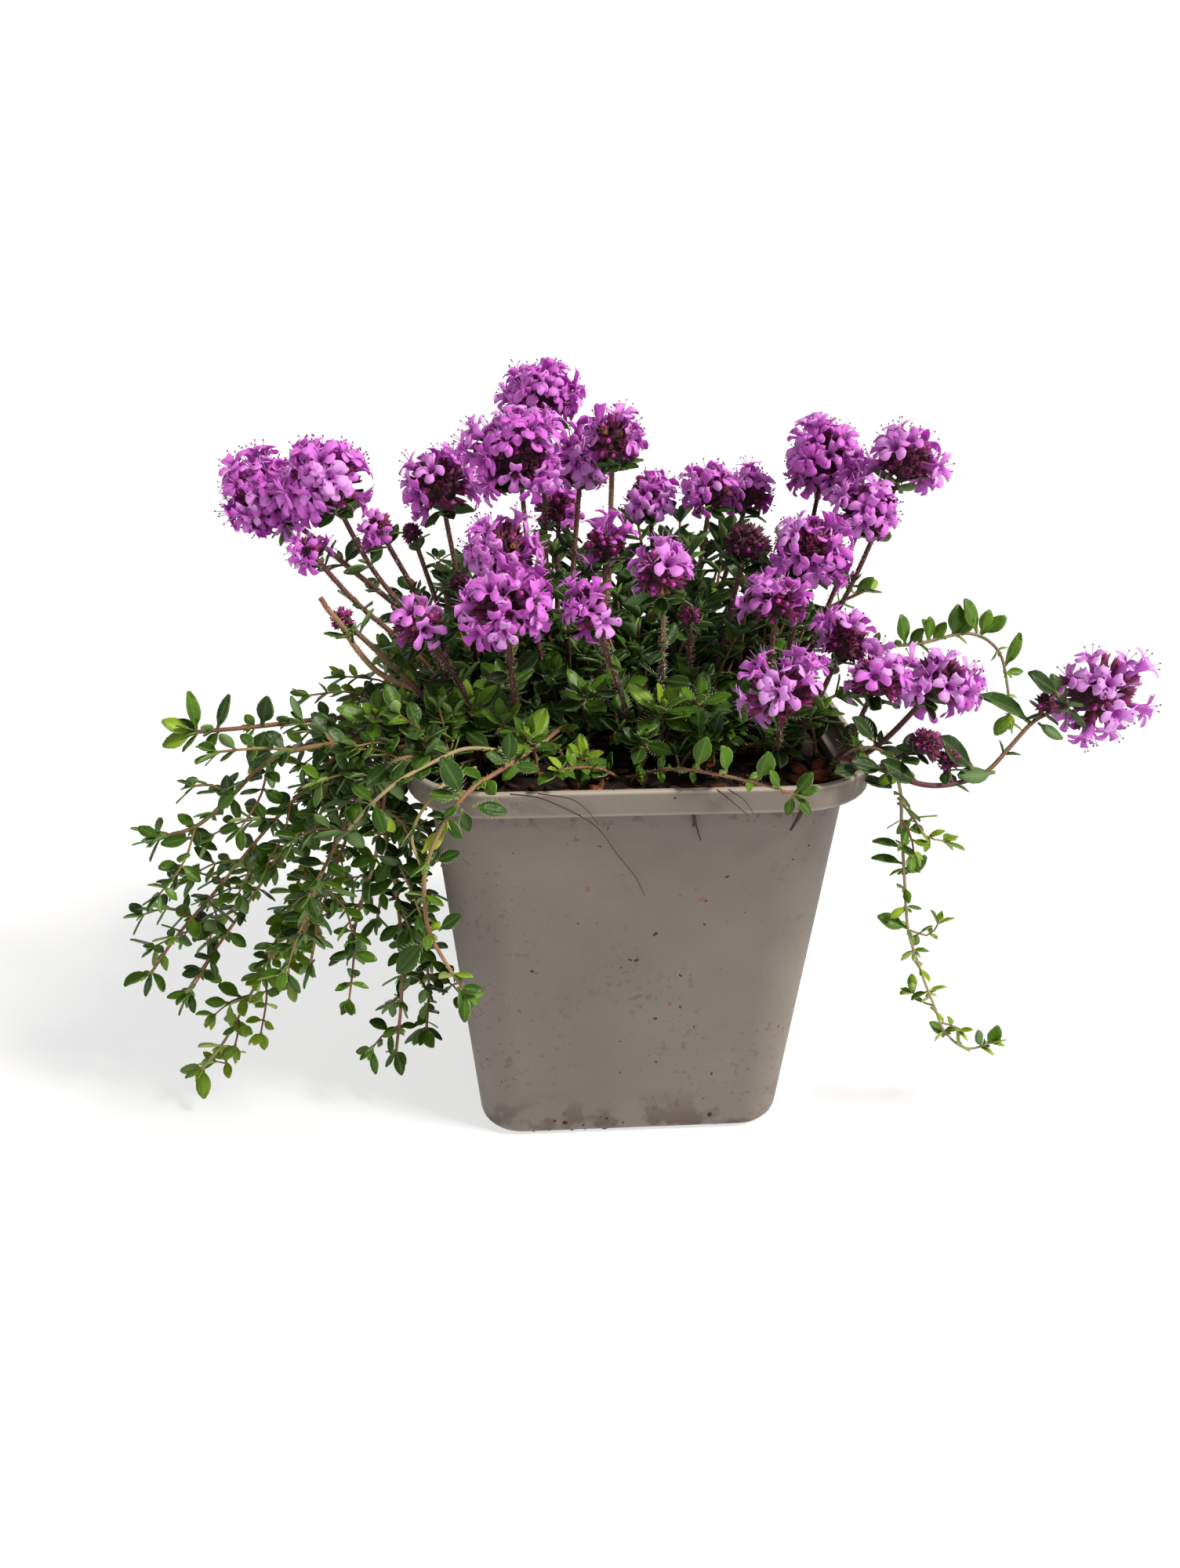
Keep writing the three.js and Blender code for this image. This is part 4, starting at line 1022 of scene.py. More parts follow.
# Three leaves show their pale under side.
PALE_LEAVES = [(64, -42, 88.6, 56.4, -43.6, 88.4), (73.2, -36.4, 96, 77.8, -37.4, 93),
               (75.6, -31, 18.4, 74, -31, 23)]
# Short twigs on the hanging stem: line, length of a leaf and step between pairs.
HAND_TWIGS = [
    ([(49.2, -35.4, 80.5), (52.6, -35.4, 76), (55.8, -35, 72), (59.4, -35, 71)], 4.6, 3.0),
    ([(50.2, -35.4, 76), (52, -36.4, 73), (52.8, -37, 69.6)], 4.2, 2.6),
    ([(55, -34, 50.4), (59.5, -34, 49), (61, -34, 52)], 3.4, 3.0),
    ([(63, -33, 31), (60.6, -32.4, 31.6), (58.3, -32, 34)], 3.8, 3.4),
    ([(65.5, -32.3, 26), (68, -32, 25), (69.6, -32, 23.4)], 3.8, 2.6)]


def lone_leaf(place, up, broad):
    """The place of one leaf whose base and tip are given."""
    base = Vector(place[:3])
    blade = Vector(place[3:6]) - base
    return placed(base, facing(blade, up), (blade.length * broad, blade.length, blade.length))


for (name, kind), rows in LONE_LEAVES.items():
    for row in rows:
        garden[name][kind].append((lone_leaf(row, (0.1, -0.5, 0.8), 1.1), row[6]))
for row in PALE_LEAVES:
    garden["plant_corner"]["open"].append((lone_leaf(row, (0, 0.5, -0.8), 1), 0.3))

twig_rng = random.Random(62)
for points, leaf, step in HAND_TWIGS:
    leafy_stem(garden["plant_corner"], twig_rng, points, 0.26, leaf, step, 0.66, tuft=0, first=2.2)

# A clump of young leaves stands on a stem of its own at the left.
CLUMP = Vector((-39.2, 15.4, 114.4))
CLUMP_LEAVES = 12
clump_plant = garden["plant_back_left"]
for _ in range(CLUMP_LEAVES):
    out = jitter(twig_rng, 1).normalized()
    grow_leaf(clump_plant, twig_rng, CLUMP + out * 0.8, out, UP, 3.8, 0.1, ("hairy",))
clump_way = Way([(-33, 11, 92), (-37, 14, 104), CLUMP])
clump_plant["flower_stems"].append((clump_way.points, 0.5, 0.5))

# Two tan stems run out over the left front corner: plant, radius, leaves and line.
CORNER_STEMS = [
    ("creeper_left_front", 0.44, 6.0, 9.0,
     [(-24, -29, 89), (-33, -34.5, 92.2), (-39, -38.5, 91.2), (-44.3, -42, 89.6),
      (-48.6, -43.5, 86.6), (-53, -41, 81), (-57.4, -35.6, 74.2)]),
    ("creeper_front_rim", 0.36, 4.4, 12.0,
     [(-31, -38, 90), (-37, -45.5, 89.7), (-39, -48.8, 88.4), (-41, -49.4, 85.5),
      (-42.2, -49, 81.2), (-40.6, -50.4, 76)]),
]
for name, radius, leaf, step, points in CORNER_STEMS:
    leafy_stem(garden[name], twig_rng, points, radius, leaf, step, 0.3, tuft=1, first=5,
               tip=False, line="tan_stems")

# Three more leafy stems fill the left bundle between the rim corner and its lowest tips.
BUNDLE_STEMS = [
    ("creeper_left_front", [(-36, -27, 88), (-45.5, -29, 90.4), (-49, -30, 79), (-51.3, -30, 67.5),
                            (-55, -29, 56.6), (-57.9, -28, 46)]),
    ("creeper_left_front", [(-36, -22, 88), (-45.5, -23, 90.4), (-48.4, -24, 78), (-50, -24, 63),
                            (-52.6, -23, 50)]),
    ("creeper_left_middle", [(-36, -9, 88), (-45.8, -10, 90.6), (-52, -12, 80), (-57, -14, 68.3),
                             (-61.2, -16, 58.6), (-65, -17, 48), (-68.2, -17, 36)]),
]
bundle_rng = random.Random(71)
for name, points in BUNDLE_STEMS:
    leafy_stem(garden[name], bundle_rng, points, 0.44, 5.6, 5.6, 0.28, tuft=1, first=10,
               side_shoots=0.6, line="stems")

# One thick flower stem on the left was cut off above its topmost leaves.
CUT_STEM = [(-31, -22, 86), (-37, -21, 95), (-43.6, -21, 99.5), (-49.1, -22, 102.9), (-52.9, -23, 108.3),
            (-55.2, -24, 113.2), (-57.1, -24, 115.7), (-58.3, -24, 118)]
cut_rng = random.Random(44)
cut_plant = garden["plant_front_left"]
cut_way = Way(CUT_STEM)
cut_plant["stems"].append((cut_way.points, 0.62, 0.5))
bristle(cut_plant, cut_rng, cut_way, 0.58, 12, cut_way.length, 8, 0.85)
for turn, length in ((0.2, 4.6), (1.8, 4.2), (0.9, 2.8), (2.6, 3.0)):
    leaf_pair(cut_plant, cut_rng, cut_way, cut_way.length - 9, turn, length, 0.45, 1, ("hairy",))

# The mat
# Short leafy shoots stand close together all over the soil, each given to the plant whose
# crown is nearest. The rosettes along the front edge are placed one by one.
mat_rng = random.Random(5)
MAT_SHOOTS = 240
HIGHEST_SHOOT = 35
# Shoots at the back and in front: shortest and longest leaf, step, added tone and shape. The front shoots
# get a little more tone, which leaves the back of the mat darker as painted shade.
BACK_SHOOTS = (6.2, 8.2, 4.2, 0, "small")
FRONT_SHOOTS = (5, 7, 3.7, 0.05, "plain")
# Shoots leave this much room round the tip of a rosette.
ROSETTE_ROOM = 6.5
# Rosettes: plant, tip, length of a leaf and tone.
ROSETTES = [
    ("plant_centre_left", (-9.7, -15, 94.5), 8.6, 0.42), ("plant_front", (4.6, -23.5, 95), 9.2, 0.58),
    ("plant_front", (12, -22, 95.5), 8.8, 0.5), ("creeper_front", (-10.9, -28, 87), 6.6, 0.66),
    ("plant_front", (-3.9, -13, 95.5), 8.2, 0.4), ("plant_front_left", (-31.9, -22.5, 95.5), 8.4, 0.6),
    ("creeper_left_front", (-38.5, -24.5, 94.5), 8.4, 0.5),
    ("creeper_left_high", (-44, -19.5, 96), 8.2, 0.7),
    ("creeper_left_high", (-50, -24, 94.5), 8, 0.62),
    ("plant_centre_right", (13.1, -10, 95.5), 8.2, 0.36),
    ("plant_centre_left", (-16.1, -4, 95), 8, 0.36), ("plant_centre_left", (-25.8, -14, 97), 8.6, 0.46),
    ("creeper_front", (1, -27, 90), 7, 0.32), ("plant_front_right", (21, -16, 93), 7.6, 0.4),
    ("creeper_front_rim", (-26, -24.5, 93), 8, 0.5), ("creeper_front_rim", (-21.3, -30.5, 92), 8, 0.62),
]
# The pairs of a rosette from the lowest up: how steep in degrees, and how long.
TIERS = ((2, 0.9), (14, 1.0), (32, 1.0), (50, 0.9), (66, 0.66), (78, 0.4))


def rosette(plant, rng, tip, leaf, tone):
    """A short shoot, open towards the light, whose pairs of leaves stand steeper inwards."""
    foot = Vector((tip.x * 0.93, tip.y * 0.93 + 1, SOIL_LEVEL))
    foot.x = max(-SOIL_HALF + 2, min(SOIL_HALF - 2, foot.x))
    middle = foot.lerp(tip, 0.5) + Vector((0.6, 0.4, 0.5))
    leafy_stem(plant, rng, [foot, middle, tip], 0.5, leaf * 0.85, 3.0, tone - 0.15, tuft=0, first=4,
               tip=False)
    spin = rng.uniform(0, math.pi)
    axis = Vector((0.12, -0.5, 1)).normalized()
    side = axis.cross(Vector((0, 1, 0))).normalized()
    for tier, (degrees, size) in enumerate(TIERS):
        steep = math.radians(degrees)
        for half_turn in (0, math.pi):
            level = spoke(axis, side, spin + tier * math.pi / 2 + half_turn)
            out = level * math.cos(steep) + axis * math.sin(steep)
            face = axis * math.cos(steep) - level * math.sin(steep)
            grow_leaf(plant, rng, tip + axis * (tier * 0.5 - 1.6), out, face * 2, leaf * size,
                      tone + 0.05 * tier - 0.1, ("hairy",))


for name, tip, leaf, tone in ROSETTES:
    rosette(garden[name], mat_rng, Vector(tip), leaf * 0.84, tone)
for _ in range(MAT_SHOOTS):
    x = mat_rng.uniform(-39, 38)
    y = mat_rng.uniform(-37, 38)
    place = into_rounded_square(Vector((x, y, SOIL_LEVEL)), SOIL_HALF - 1, SOIL_CORNER)
    # Only a few shoots stand in the front strip, and none in its right corner.
    if place.y < -23 and (mat_rng.random() < 0.88 or place.x > 24):
        continue
    nearest = min(PLANTS, key=lambda name: (Vector(PLANTS[name]["root"]) - place.xy).length)
    outward = Vector((place.x, place.y, 0)) / 38
    # The mat is a dome that falls off to its sides and its front.
    highest = max(9, HIGHEST_SHOOT - 0.008 * (place.x - 5) ** 2 - 1.15 * max(0, 4 - place.y))
    rise_up = highest * mat_rng.uniform(0.25, 1)
    lean = outward * mat_rng.uniform(0, 8) + Vector((mat_rng.uniform(-6, 6), mat_rng.uniform(-6, 6), 0))
    top = place + lean + UP * rise_up
    if any((top - Vector(tip)).length < ROSETTE_ROOM and top.z > tip[2] - 4 for _, tip, _, _ in ROSETTES):
        continue
    middle = place + lean * 0.35 + UP * rise_up * 0.5
    shortest, longest, step, brighter, kind = BACK_SHOOTS if place.y > -4 else FRONT_SHOOTS
    leaf = mat_rng.uniform(shortest, longest)
    # The low tones give the mat's own dark green and, inside the mat, painted shade.
    leafy_stem(garden[nearest], mat_rng, [place - UP * 1.5, middle, top], 0.45, leaf, step,
               mat_rng.uniform(0, 0.26) + brighter, tuft=0, first=4.5, kinds=(kind,))

for name, parts in garden.items():
    members = [draw_stems(key, parts[key], material, 0 if key == "twigs" else 1)
               for key, material in STEM_MATERIALS.items() if parts[key]]
    piece = join(name + "_leafy", members + scatter_all(PLANT_SHAPES, parts))
    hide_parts(name)
    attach(piece, "root")

# Florets
# A floret is a short tube that opens into two lips: the upper one stands up and is
# notched, the lower one spreads in three round lobes. Four thin stamens stand out of it.
MOUTH = 3.4
NOTCH = 0.45
LIGHT_THROUGH = 0.4
PETAL_THICKNESS = 0.1
# Each stamen's place across the mouth and its share of the reach.
STAMENS = ((-0.45, 0.5, 1.0), (0.45, 0.55, 0.92), (-0.8, -0.1, 0.78), (0.8, -0.05, 0.85))
# Rings of the tube: distance from its foot and radius.
TUBE = ((0.0, 0.42), (2.3, 0.62), (MOUTH, 1.05))
petal = new_material("petal", rough=0.55, gloss=0.3, sheen=0.15)
petal_tone = reading(petal, "tone")
petal_along = reading(petal, "along")
# The tube is a deeper magenta than the lips: partly its own colour, partly painted shade in the throat and
# between the lobes.
lip_colour = ramp(petal_tone, (0.0, rgb(220, 92, 218)), (0.5, rgb(243, 134, 242)),
                  (1.0, rgb(248, 188, 252)))
tube_colour = ramp(petal_tone, (0.0, rgb(180, 76, 178)), (1.0, rgb(224, 128, 224)))
petal_colour = blend_colours(rise(petal_along, 0.45, 0.72), tube_colour, lip_colour)
petal_colour = blend_colours(times(rise(petal_along, 0.8, 1.0), 0.12), petal_colour, rgb(250, 196, 248))
petal_colour = grained(petal, petal_colour, 900, 0.86, 1.1, detail=2)
link(petal_colour, petal)
# Petals let part of the light through.
glow = node(petal, "BsdfTranslucent", {"Color": petal_colour})
through = node(petal, "MixShader", {
    0: LIGHT_THROUGH, 1: shader_of(petal).outputs["BSDF"], 2: glow.outputs["BSDF"]})
petal_output = next(n for n in petal.node_tree.nodes if n.type == "OUTPUT_MATERIAL")
petal.node_tree.links.new(through.outputs["Shader"], petal_output.inputs["Surface"])
anther = new_material("anther", colour=rgb(128, 50, 120), rough=0.6)
filament = new_material("filament", colour=rgb(206, 138, 212), rough=0.5)


def around(co):
    """The angle of a point round the +Y axis, from +X towards +Z, in degrees."""
    return math.degrees(math.atan2(co.z, co.x)) % 360


def pull_lobe(middle, steps):
    """Pulls a lobe out of two edges of the mouth. Each step moves its outer edge, then
    sizes it."""
    pick_points(lambda co: abs(co.y - MOUTH) < 0.02
                and abs((around(co) - middle + 180) % 360 - 180) < 50)
    for move, size in steps:
        bpy.ops.mesh.extrude_edges_move(TRANSFORM_OT_translate={"value": move})
        bpy.ops.transform.resize(value=size)


def tube(rings, extrude):
    """Draws the chosen circle out along +Y through rings of a distance and a radius."""
    for (before, small), (after, wide) in zip(rings, rings[1:]):
        extrude(TRANSFORM_OT_translate={"value": (0, after - before, 0)})
        bpy.ops.transform.resize(value=(wide / small, 1, wide / small))


def floret_pattern(openness, stamen_reach):
    """A floret of real size in mm, whose tube lies along +Y with its upper lip at +Z."""
    model(bpy.ops.mesh.primitive_circle_add, "SELECT", vertices=8, radius=TUBE[0][1],
          rotation=(math.pi / 2, 0, 0))
    tube(TUBE, bpy.ops.mesh.extrude_edges_move)
    pull_lobe(90, (((0, 0.4, 0.55), (1.3, 1, 0.5)), ((0, 0.3 * openness, 0.85), (1.25, 1, 0.8)),
                   ((0, 0, 0.75), (0.85, 1, 0.6))))
    top_edge = [point for point in open_mesh().verts if point.select]
    min(top_edge, key=lambda point: abs(point.co.x)).co.z -= NOTCH
    pull_lobe(270, (((0, 0.65, -0.45), (0.95, 1, 0.5)), ((0, 0.4 * openness, -0.8), (1.5, 1, 1)),
                    ((0, 0, -0.6), (1.02, 1, 1)), ((0, -0.15, -0.3), (0.6, 1, 1))))
    for side, middle in ((1, 0), (-1, 180)):
        pull_lobe(middle, (((side * 0.5, 0.6, -0.3), (0.5, 1, 0.95)),
                           ((side * 0.85, 0.35 * openness, -0.35), (1, 1, 1.4)),
                           ((side * 0.6, -0.08, -0.2), (1, 1, 0.98)),
                           ((side * 0.28, -0.1, -0.06), (1, 1, 0.55))))
    corolla = close_mesh("corolla", petal, face_out=True)
    add_attribute(corolla, "along",
                  lambda co: min(1, co.y / MOUTH * 0.5 + max(0, co.xz.length - 1) * 0.25))
    modify(corolla, "SOLIDIFY", thickness=PETAL_THICKNESS, offset=0)
    parts = [corolla]
    for x, z, reach in STAMENS:
        tip = Vector((x * 2.4, MOUTH + stamen_reach * reach, z * 2.2 + 0.3))
        root = Vector((x * 0.7, MOUTH - 0.8, z * 0.5))
        parts.append(add_shape(
            bpy.ops.mesh.primitive_cone_add, filament, vertices=3, radius1=0.09, radius2=0.07,
            depth=(tip - root).length, location=(tip + root) / 2,
            rotation=(tip - root).to_track_quat("Z", "Y").to_euler()))
        parts.append(add_shape(bpy.ops.mesh.primitive_uv_sphere_add, anther, segments=4, ring_count=2,
                               radius=0.2, location=tip))
    return keep_as_pattern(settle(join("floret", parts)), PETAL_THICKNESS)


HEAD_SHAPES = {"floret_0": floret_pattern(1.0, 2.0), "floret_1": floret_pattern(0.2, 2.3),
               "floret_2": floret_pattern(1.9, 1.1)}

# Calyxes and buds
# Each floret sits in a ribbed maroon cup with pointed teeth and a few pale hairs. Unopened
# ones show a round magenta bud in the cup, and spent cups stay empty or dry up brown.
calyx = new_material("calyx", rough=0.6, gloss=0.35)
cup_colour = ramp(reading(calyx, "tone"), (0.0, rgb(62, 18, 40)), (0.45, rgb(104, 30, 68)),
                  (0.7, rgb(132, 44, 92)), (0.82, rgb(92, 58, 40)), (1.0, rgb(178, 120, 62)))
link(blend_colours(rise(reading(calyx, "along"), 0.5, 0.0), cup_colour, rgb(78, 84, 48)), calyx)
bud = new_material("bud", rough=0.5, gloss=0.4)
link(ramp(reading(bud, "tone"), (0.0, rgb(134, 26, 104)), (1.0, rgb(206, 70, 180))), bud)
CUP = ((0.0, 0.3), (0.7, 0.66), (1.7, 0.82), (2.5, 0.8))
CUP_HAIRS = 5


def cup_parts():
    """A calyx along +Y with five teeth round its mouth."""
    model(bpy.ops.mesh.primitive_circle_add, "SELECT", vertices=10, radius=CUP[0][1], fill_type="NGON",
          rotation=(math.pi / 2, 0, 0))
    tube(CUP, bpy.ops.mesh.extrude_region_move)
    bpy.ops.mesh.inset(thickness=0.16)
    bpy.ops.transform.translate(value=(0, -0.8, 0))
    cup = close_mesh("cup", calyx, face_out=True)
    mouth = [point for point in cup.data.vertices if abs(point.co.y - CUP[-1][0]) < 0.02]
    mouth.sort(key=lambda point: math.atan2(point.co.z, point.co.x))
    for point in mouth[::2]:
        point.co += Vector((point.co.x * 0.3, 1.05, point.co.z * 0.3))
    add_attribute(cup, "along", lambda co: co.y / CUP[-1][0])
    parts = [cup]
    for k in range(CUP_HAIRS):
        angle = k * 2.4
        ring = Vector((math.cos(angle), 0, math.sin(angle)))
        foot = ring * 0.78 + Vector((0, 1.3 + 0.22 * k, 0))
        parts.append(lay_hair(foot, ring + Vector((0, 0.7, 0)), 0.035, 0.8))
    return parts


HEAD_SHAPES["cup"] = keep_as_pattern(join("cup", cup_parts()))
bud_cup = cup_parts()
ball = add_shape(bpy.ops.mesh.primitive_uv_sphere_add, bud, segments=8, ring_count=5, radius=0.62,
                 location=(0, 2.7, 0), scale=(1, 1.35, 1))
HEAD_SHAPES["bud"] = keep_as_pattern(join("bud", [*bud_cup, settle(ball)]))
for key in ("hairy", "small"):
    HEAD_SHAPES[key] = PLANT_SHAPES[key]

# Flower heads
# Cups stand close together round the top of the stem, and florets spring from some of
# them. Most heads leave a dark patch of bare cups on one side. Hairy bracts sit beneath.
core = new_material("core", rough=0.8)
link(ramp(noise_at(core, 520, 3), (0.36, rgb(40, 18, 28)), (0.54, rgb(70, 28, 50)),
          (0.66, rgb(72, 72, 44))), core)
bump(core, noise_at(core, 700, 2), 1.0, 0.0016)


def look(opened, patch=(0, 0, -1), bare=0.0, **more):
    """A head's look: the share of open florets, the side that shows bare cups, and how far that patch
    reaches. More words give the share of buds, the number of dried cups and of bracts, how loose or dark it
    is, and how much paler its florets and cups are made as painted light."""
    return {"opened": opened, "patch": Vector(patch).normalized(), "bare": bare, **more}


# The looks of all heads, in the order of the stems that carry them.
BIG = look(0.68, (-0.1, -1, -0.1), 0.3)
HEAD_LOOKS = [
    BIG, look(0.66, (0.2, -0.7, -0.7), 0.45), look(0.5, (0.6, -0.3, 0.6), 0.8),
    look(0.6, (0.9, 0.2, 0.4), 1.5, loose=1.6, bracts=2), look(0, buds=1.0, bracts=1),
    look(0.3, (0, 0.3, 1), 0.6), look(0.62, (0.6, -0.7, -0.5), 0.7),
    look(0, buds=0.1, dark=1, bracts=2), look(0.6, (0.3, -0.9, 0.3), 0.45, dried=7),
    look(0.45, (0, -0.3, 1), 0.4), look(0.8, (-0.25, -0.95, -0.2), 0.42), look(0.7, (0, -1, 0), 0.36),
    look(0.78, (0, 0, -1), 0.3), look(0.3, (-0.5, -0.8, 0), 1.0),
    look(0.6, (-0.1, -0.95, 0.25), 0.95, dried=8), look(0.36, (0.5, -0.7, 0.2), 0.8),
    look(0.4, (0.9, -0.2, 0.3), 0.8), look(0.6, (0.1, -0.55, -0.8), 1.45, dried=3, buds=0.5),
    look(0, buds=0.12, dark=1), look(0, buds=0.5), BIG, look(0.6, (0, -0.9, -0.3), 0.6),
    look(0.55, (0, -0.9, -0.3), 0.6), BIG, look(0.5, (-0.5, -0.9, -0.1), 0.6, loose=1.4), BIG,
    look(0.66, (-0.1, -0.9, 0.35), 0.45), look(0.5, (0.05, -0.75, -0.6), 1.4, buds=0.45),
    look(0.38, (-0.3, -0.6, -0.8), 1.3, loose=1.2),
    # Four heads at the right front stand in strong light and are made paler there as painted light.
    look(0.34, (0.1, -0.5, -0.9), 1.1, loose=1.6, bright=0.3),
    look(0.42, (0.1, -0.7, -0.7), 0.9, loose=1.8, bright=0.4),
    look(0.42, (-0.2, -0.8, -0.6), 0.8, loose=2.2, bright=0.4), look(0, buds=0.5),
    look(0.36, (-0.5, -0.7, -0.2), 0.6, loose=2.5, bright=0.7),
]
SMALL_HEAD = 9
# How far down a head the cups reach, where 2 would be all the way to the stem.
LOWEST_CUP = 1.74
GOLDEN_ANGLE = 2.39996
CUP_LENGTH = 3.5
FLORET_LENGTH = 5.4


def grow_head(name, head, traits, seed):
    """One flower head round the end of its stem, as one piece."""
    rng = random.Random(seed)
    width, height, centre, axis = head["width"], head["height"], head["centre"], head["axis"]
    turned = facing(Vector((0.3, -1, 0.1)), axis)
    small = width < SMALL_HEAD
    area = math.pi * width * height * 0.78
    area_per_cup = 6 if small else 10
    cups = max(10, round(area / area_per_cup))
    patch = traits["patch"]
    # Heads in strong light get paler florets and cups: painted light.
    bright = traits.get("bright", 0)
    dark = traits.get("dark", 0)
    groups = {key: [] for key in HEAD_SHAPES}
    spin = rng.uniform(0, 6.28)
    size = 0.8 if small else 1.0
    for k in range(cups):
        level = 1 - LOWEST_CUP * (k + 0.5) / cups
        angle = spin + k * GOLDEN_ANGLE + rng.uniform(-0.25, 0.25)
        flat = math.sqrt(max(0, 1 - level * level))
        out = turned @ Vector((flat * math.cos(angle), flat * math.sin(angle), level))
        out = (out + jitter(rng, 0.22)).normalized()
        reach = 0.5 * math.sqrt((width * flat) ** 2 + (height * level) ** 2)
        reach *= 1 + 0.3 * noise.noise(out * 1.6 + Vector((seed, 0, 0)))
        up = axis + jitter(rng, 0.5) if flat > 0.3 else jitter(rng, 1)
        is_open = out.angle(patch) >= traits["bare"] and rng.random() < traits["opened"]
        grown = size * rng.uniform(0.92, 1.14)
        cup_size = grown * 0.82
        rim = max(CUP_LENGTH * 0.7, reach - 2.2 if is_open else reach * 0.8)
        root = centre + out * (rim - CUP_LENGTH * cup_size)
        axes = facing(out + axis * (0.0 if is_open else 0.25), up)
        shade = rng.uniform(0, 0.35) if dark else rng.uniform(bright, 0.7)
        cup = placed(root, axes, (cup_size,) * 3)
        if is_open:
            groups["cup"].append((cup, shade))
            proud = rng.uniform(-1.0, 1.8 + traits.get("loose", 0))
            start = centre + out * (reach + proud - FLORET_LENGTH * grown)
            kind = rng.choice(("floret_0", "floret_0", "floret_1", "floret_1", "floret_2"))
            spread = (grown * rng.uniform(0.85, 1.12), grown, grown * rng.uniform(0.85, 1.12))
            groups[kind].append((placed(start, axes, spread), min(1, bright + rng.random())))
        elif rng.random() < traits.get("buds", 0.3):
            groups["bud"].append((cup, shade if dark else rng.random() * 0.7))
        else:
            groups["cup"].append((cup, shade))
    for _ in range(traits.get("dried", 0)):
        out = (patch + jitter(rng, 0.5)).normalized()
        axes = facing(out, jitter(rng, 1))
        wither = (rng.uniform(0.3, 0.5), rng.uniform(0.6, 0.9), rng.uniform(0.3, 0.6))
        root = centre + out * 0.5 * min(width, height) * rng.uniform(0.35, 0.6)
        groups["cup"].append((placed(root, axes, wither), rng.uniform(0.85, 1)))
    foot = centre - axis * height * 0.32
    for k in range(traits.get("bracts", 4 if small else 6)):
        angle = spin + k * math.pi / 2 + (0.4 if k > 3 else 0)
        out = turned @ Vector((math.cos(angle), math.sin(angle), rng.uniform(-0.35, 0.3)))
        face = axis + jitter(rng, 0.8)
        grow_leaf(groups, rng, foot, out, face, rng.uniform(4.6, 6.4) * (0.75 if small else 1),
                  rng.uniform(0.1, 0.35), ("hairy",))
    middle = add_shape(bpy.ops.mesh.primitive_uv_sphere_add, core, segments=12, ring_count=8, radius=0.5)
    middle_size = (width * 0.42, width * 0.42, height * 0.46)
    middle.data.transform(placed(centre - axis * height * 0.04, turned, middle_size))
    middle.data.transform(Matrix.Scale(MM, 4))
    bpy.ops.object.shade_smooth()
    return join(name + "_florets", [middle, *scatter_all(HEAD_SHAPES, groups)])


for number, head in enumerate(heads, start=1):
    name = "bloom_%02d" % number
    piece = grow_head(name, head, HEAD_LOOKS[number - 1], 500 + number)
    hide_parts(name)
    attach(piece, "root")

# Three young bud heads stand on short stalks of their own: name, stalk and width.
YOUNG_HEADS = [
    ("bud_head_by_the_corner", [(55.4, -44.2, 87.8), (54.9, -43.6, 89.2), (54.6, -43, 91.6)], 5.6),
    ("bud_head_at_the_left", [(-31, 7, 96), (-33.4, 8, 105), (-34.3, 8, 111.7)], 5.4),
    ("bud_head_by_the_spike", [(72.8, -36, 96.3), (73.6, -35.9, 97.6), (74.6, -35.7, 99.4)], 4.6),
]
for number, (name, points, width) in enumerate(YOUNG_HEADS):
    young = {"centre": Vector(points[-1]), "axis": Vector((0.1, -0.15, 1)).normalized(),
             "width": width, "height": width + 0.4}
    stalk = draw_stems("stalk", [(Way(points).points, 0.42, 0.42)], flower_stem)
    cups = grow_head(name, young, look(0, buds=0.2, dark=1, bracts=3), 535 + number)
    bud_head = join(name, [cups, stalk])
    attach(bud_head, "root")

# Roots and crumbs on the pot
# Fine dark roots and bits of compost cling to the front rim, and wet crumbs to the foot.
root_dark = new_material("root_dark", colour=rgb(58, 38, 30), rough=0.8)
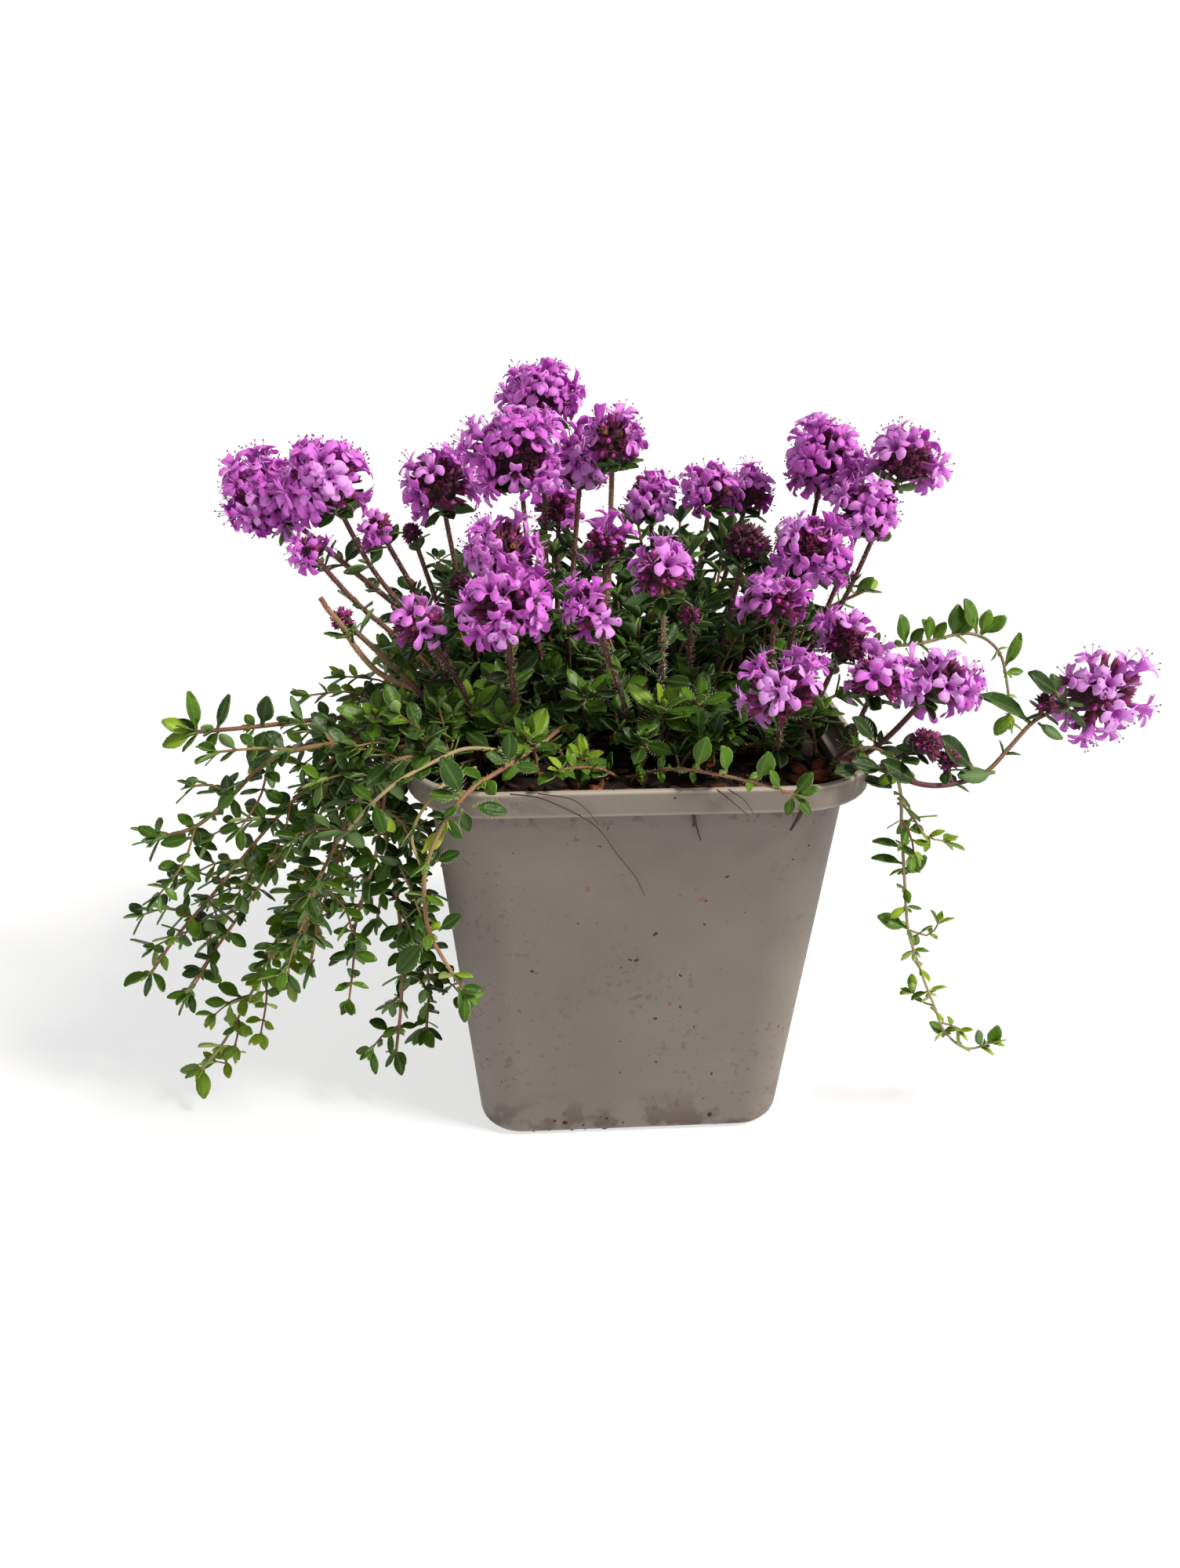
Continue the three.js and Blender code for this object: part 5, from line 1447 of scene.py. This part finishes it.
# Each root's line, and its radius where it is thickest.
FINE_ROOTS = [
    ([(-24.9, -45.2, 87.9), (-20.1, -45.3, 87.2), (-15.3, -45.3, 85.0), (-11.1, -45.2, 82.4),
      (-8.5, -43.0, 79.0), (-5.0, -40.8, 72.7), (-1.5, -40.1, 67.5), (0.4, -39.4, 63.0)], 0.14),
    ([(-20.0, -45.2, 87.9), (-13.8, -45.3, 86.6), (-11.1, -45.3, 84.3), (-9.0, -44.9, 81.2)], 0.12),
    ([(12.1, -45.2, 87.9), (15.1, -45.3, 85.4), (18.1, -45.3, 82.6)], 0.13),
    ([(14.2, -45.2, 87.9), (17.2, -45.3, 85.7), (19.0, -45.3, 83.0)], 0.11),
    ([(28.6, -45.6, 85.0), (27.6, -43.6, 80.8), (27.0, -41.9, 77.8)], 0.5),
    ([(8.3, -41.4, 82.5), (9.0, -41.2, 80.0), (8.8, -41.1, 78.6)], 0.42),
    ([(9.0, -41.2, 80.0), (9.7, -40.9, 77.6), (10.4, -40.7, 75.4)], 0.2),
]
fine_roots = draw_stems("fine_roots", [(Way(points).points, radius, radius * 0.5)
                                       for points, radius in FINE_ROOTS], root_dark)
FOOT_CRUMBS = 26
foot_rng = random.Random(31)
foot_places = []
for _ in range(FOOT_CRUMBS):
    x = foot_rng.choice((foot_rng.uniform(-22, -2), foot_rng.uniform(12, 22), foot_rng.uniform(-26, 26)))
    z = 0.8 + 4.2 * foot_rng.random() ** 3
    y = -(FOOT[0] + z * 0.1) + max(0, FOOT_ROUND - z) * 0.42
    heading = foot_rng.uniform(0, 6.28)
    axes = facing((math.cos(heading), -0.1, math.sin(heading)), (0, -1, 0.2))
    foot_places.append(placed((x, y, z), axes, (foot_rng.uniform(0.4, 1.2),) * 3))
foot_tones = [foot_rng.uniform(0.45, 0.85) for _ in foot_places]
foot_crumbs = scatter("foot_crumbs", CRUMB_SHAPES[1], zip(foot_places, foot_tones))
dirt = join("roots_and_crumbs", [fine_roots, foot_crumbs])
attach(dirt, "root")
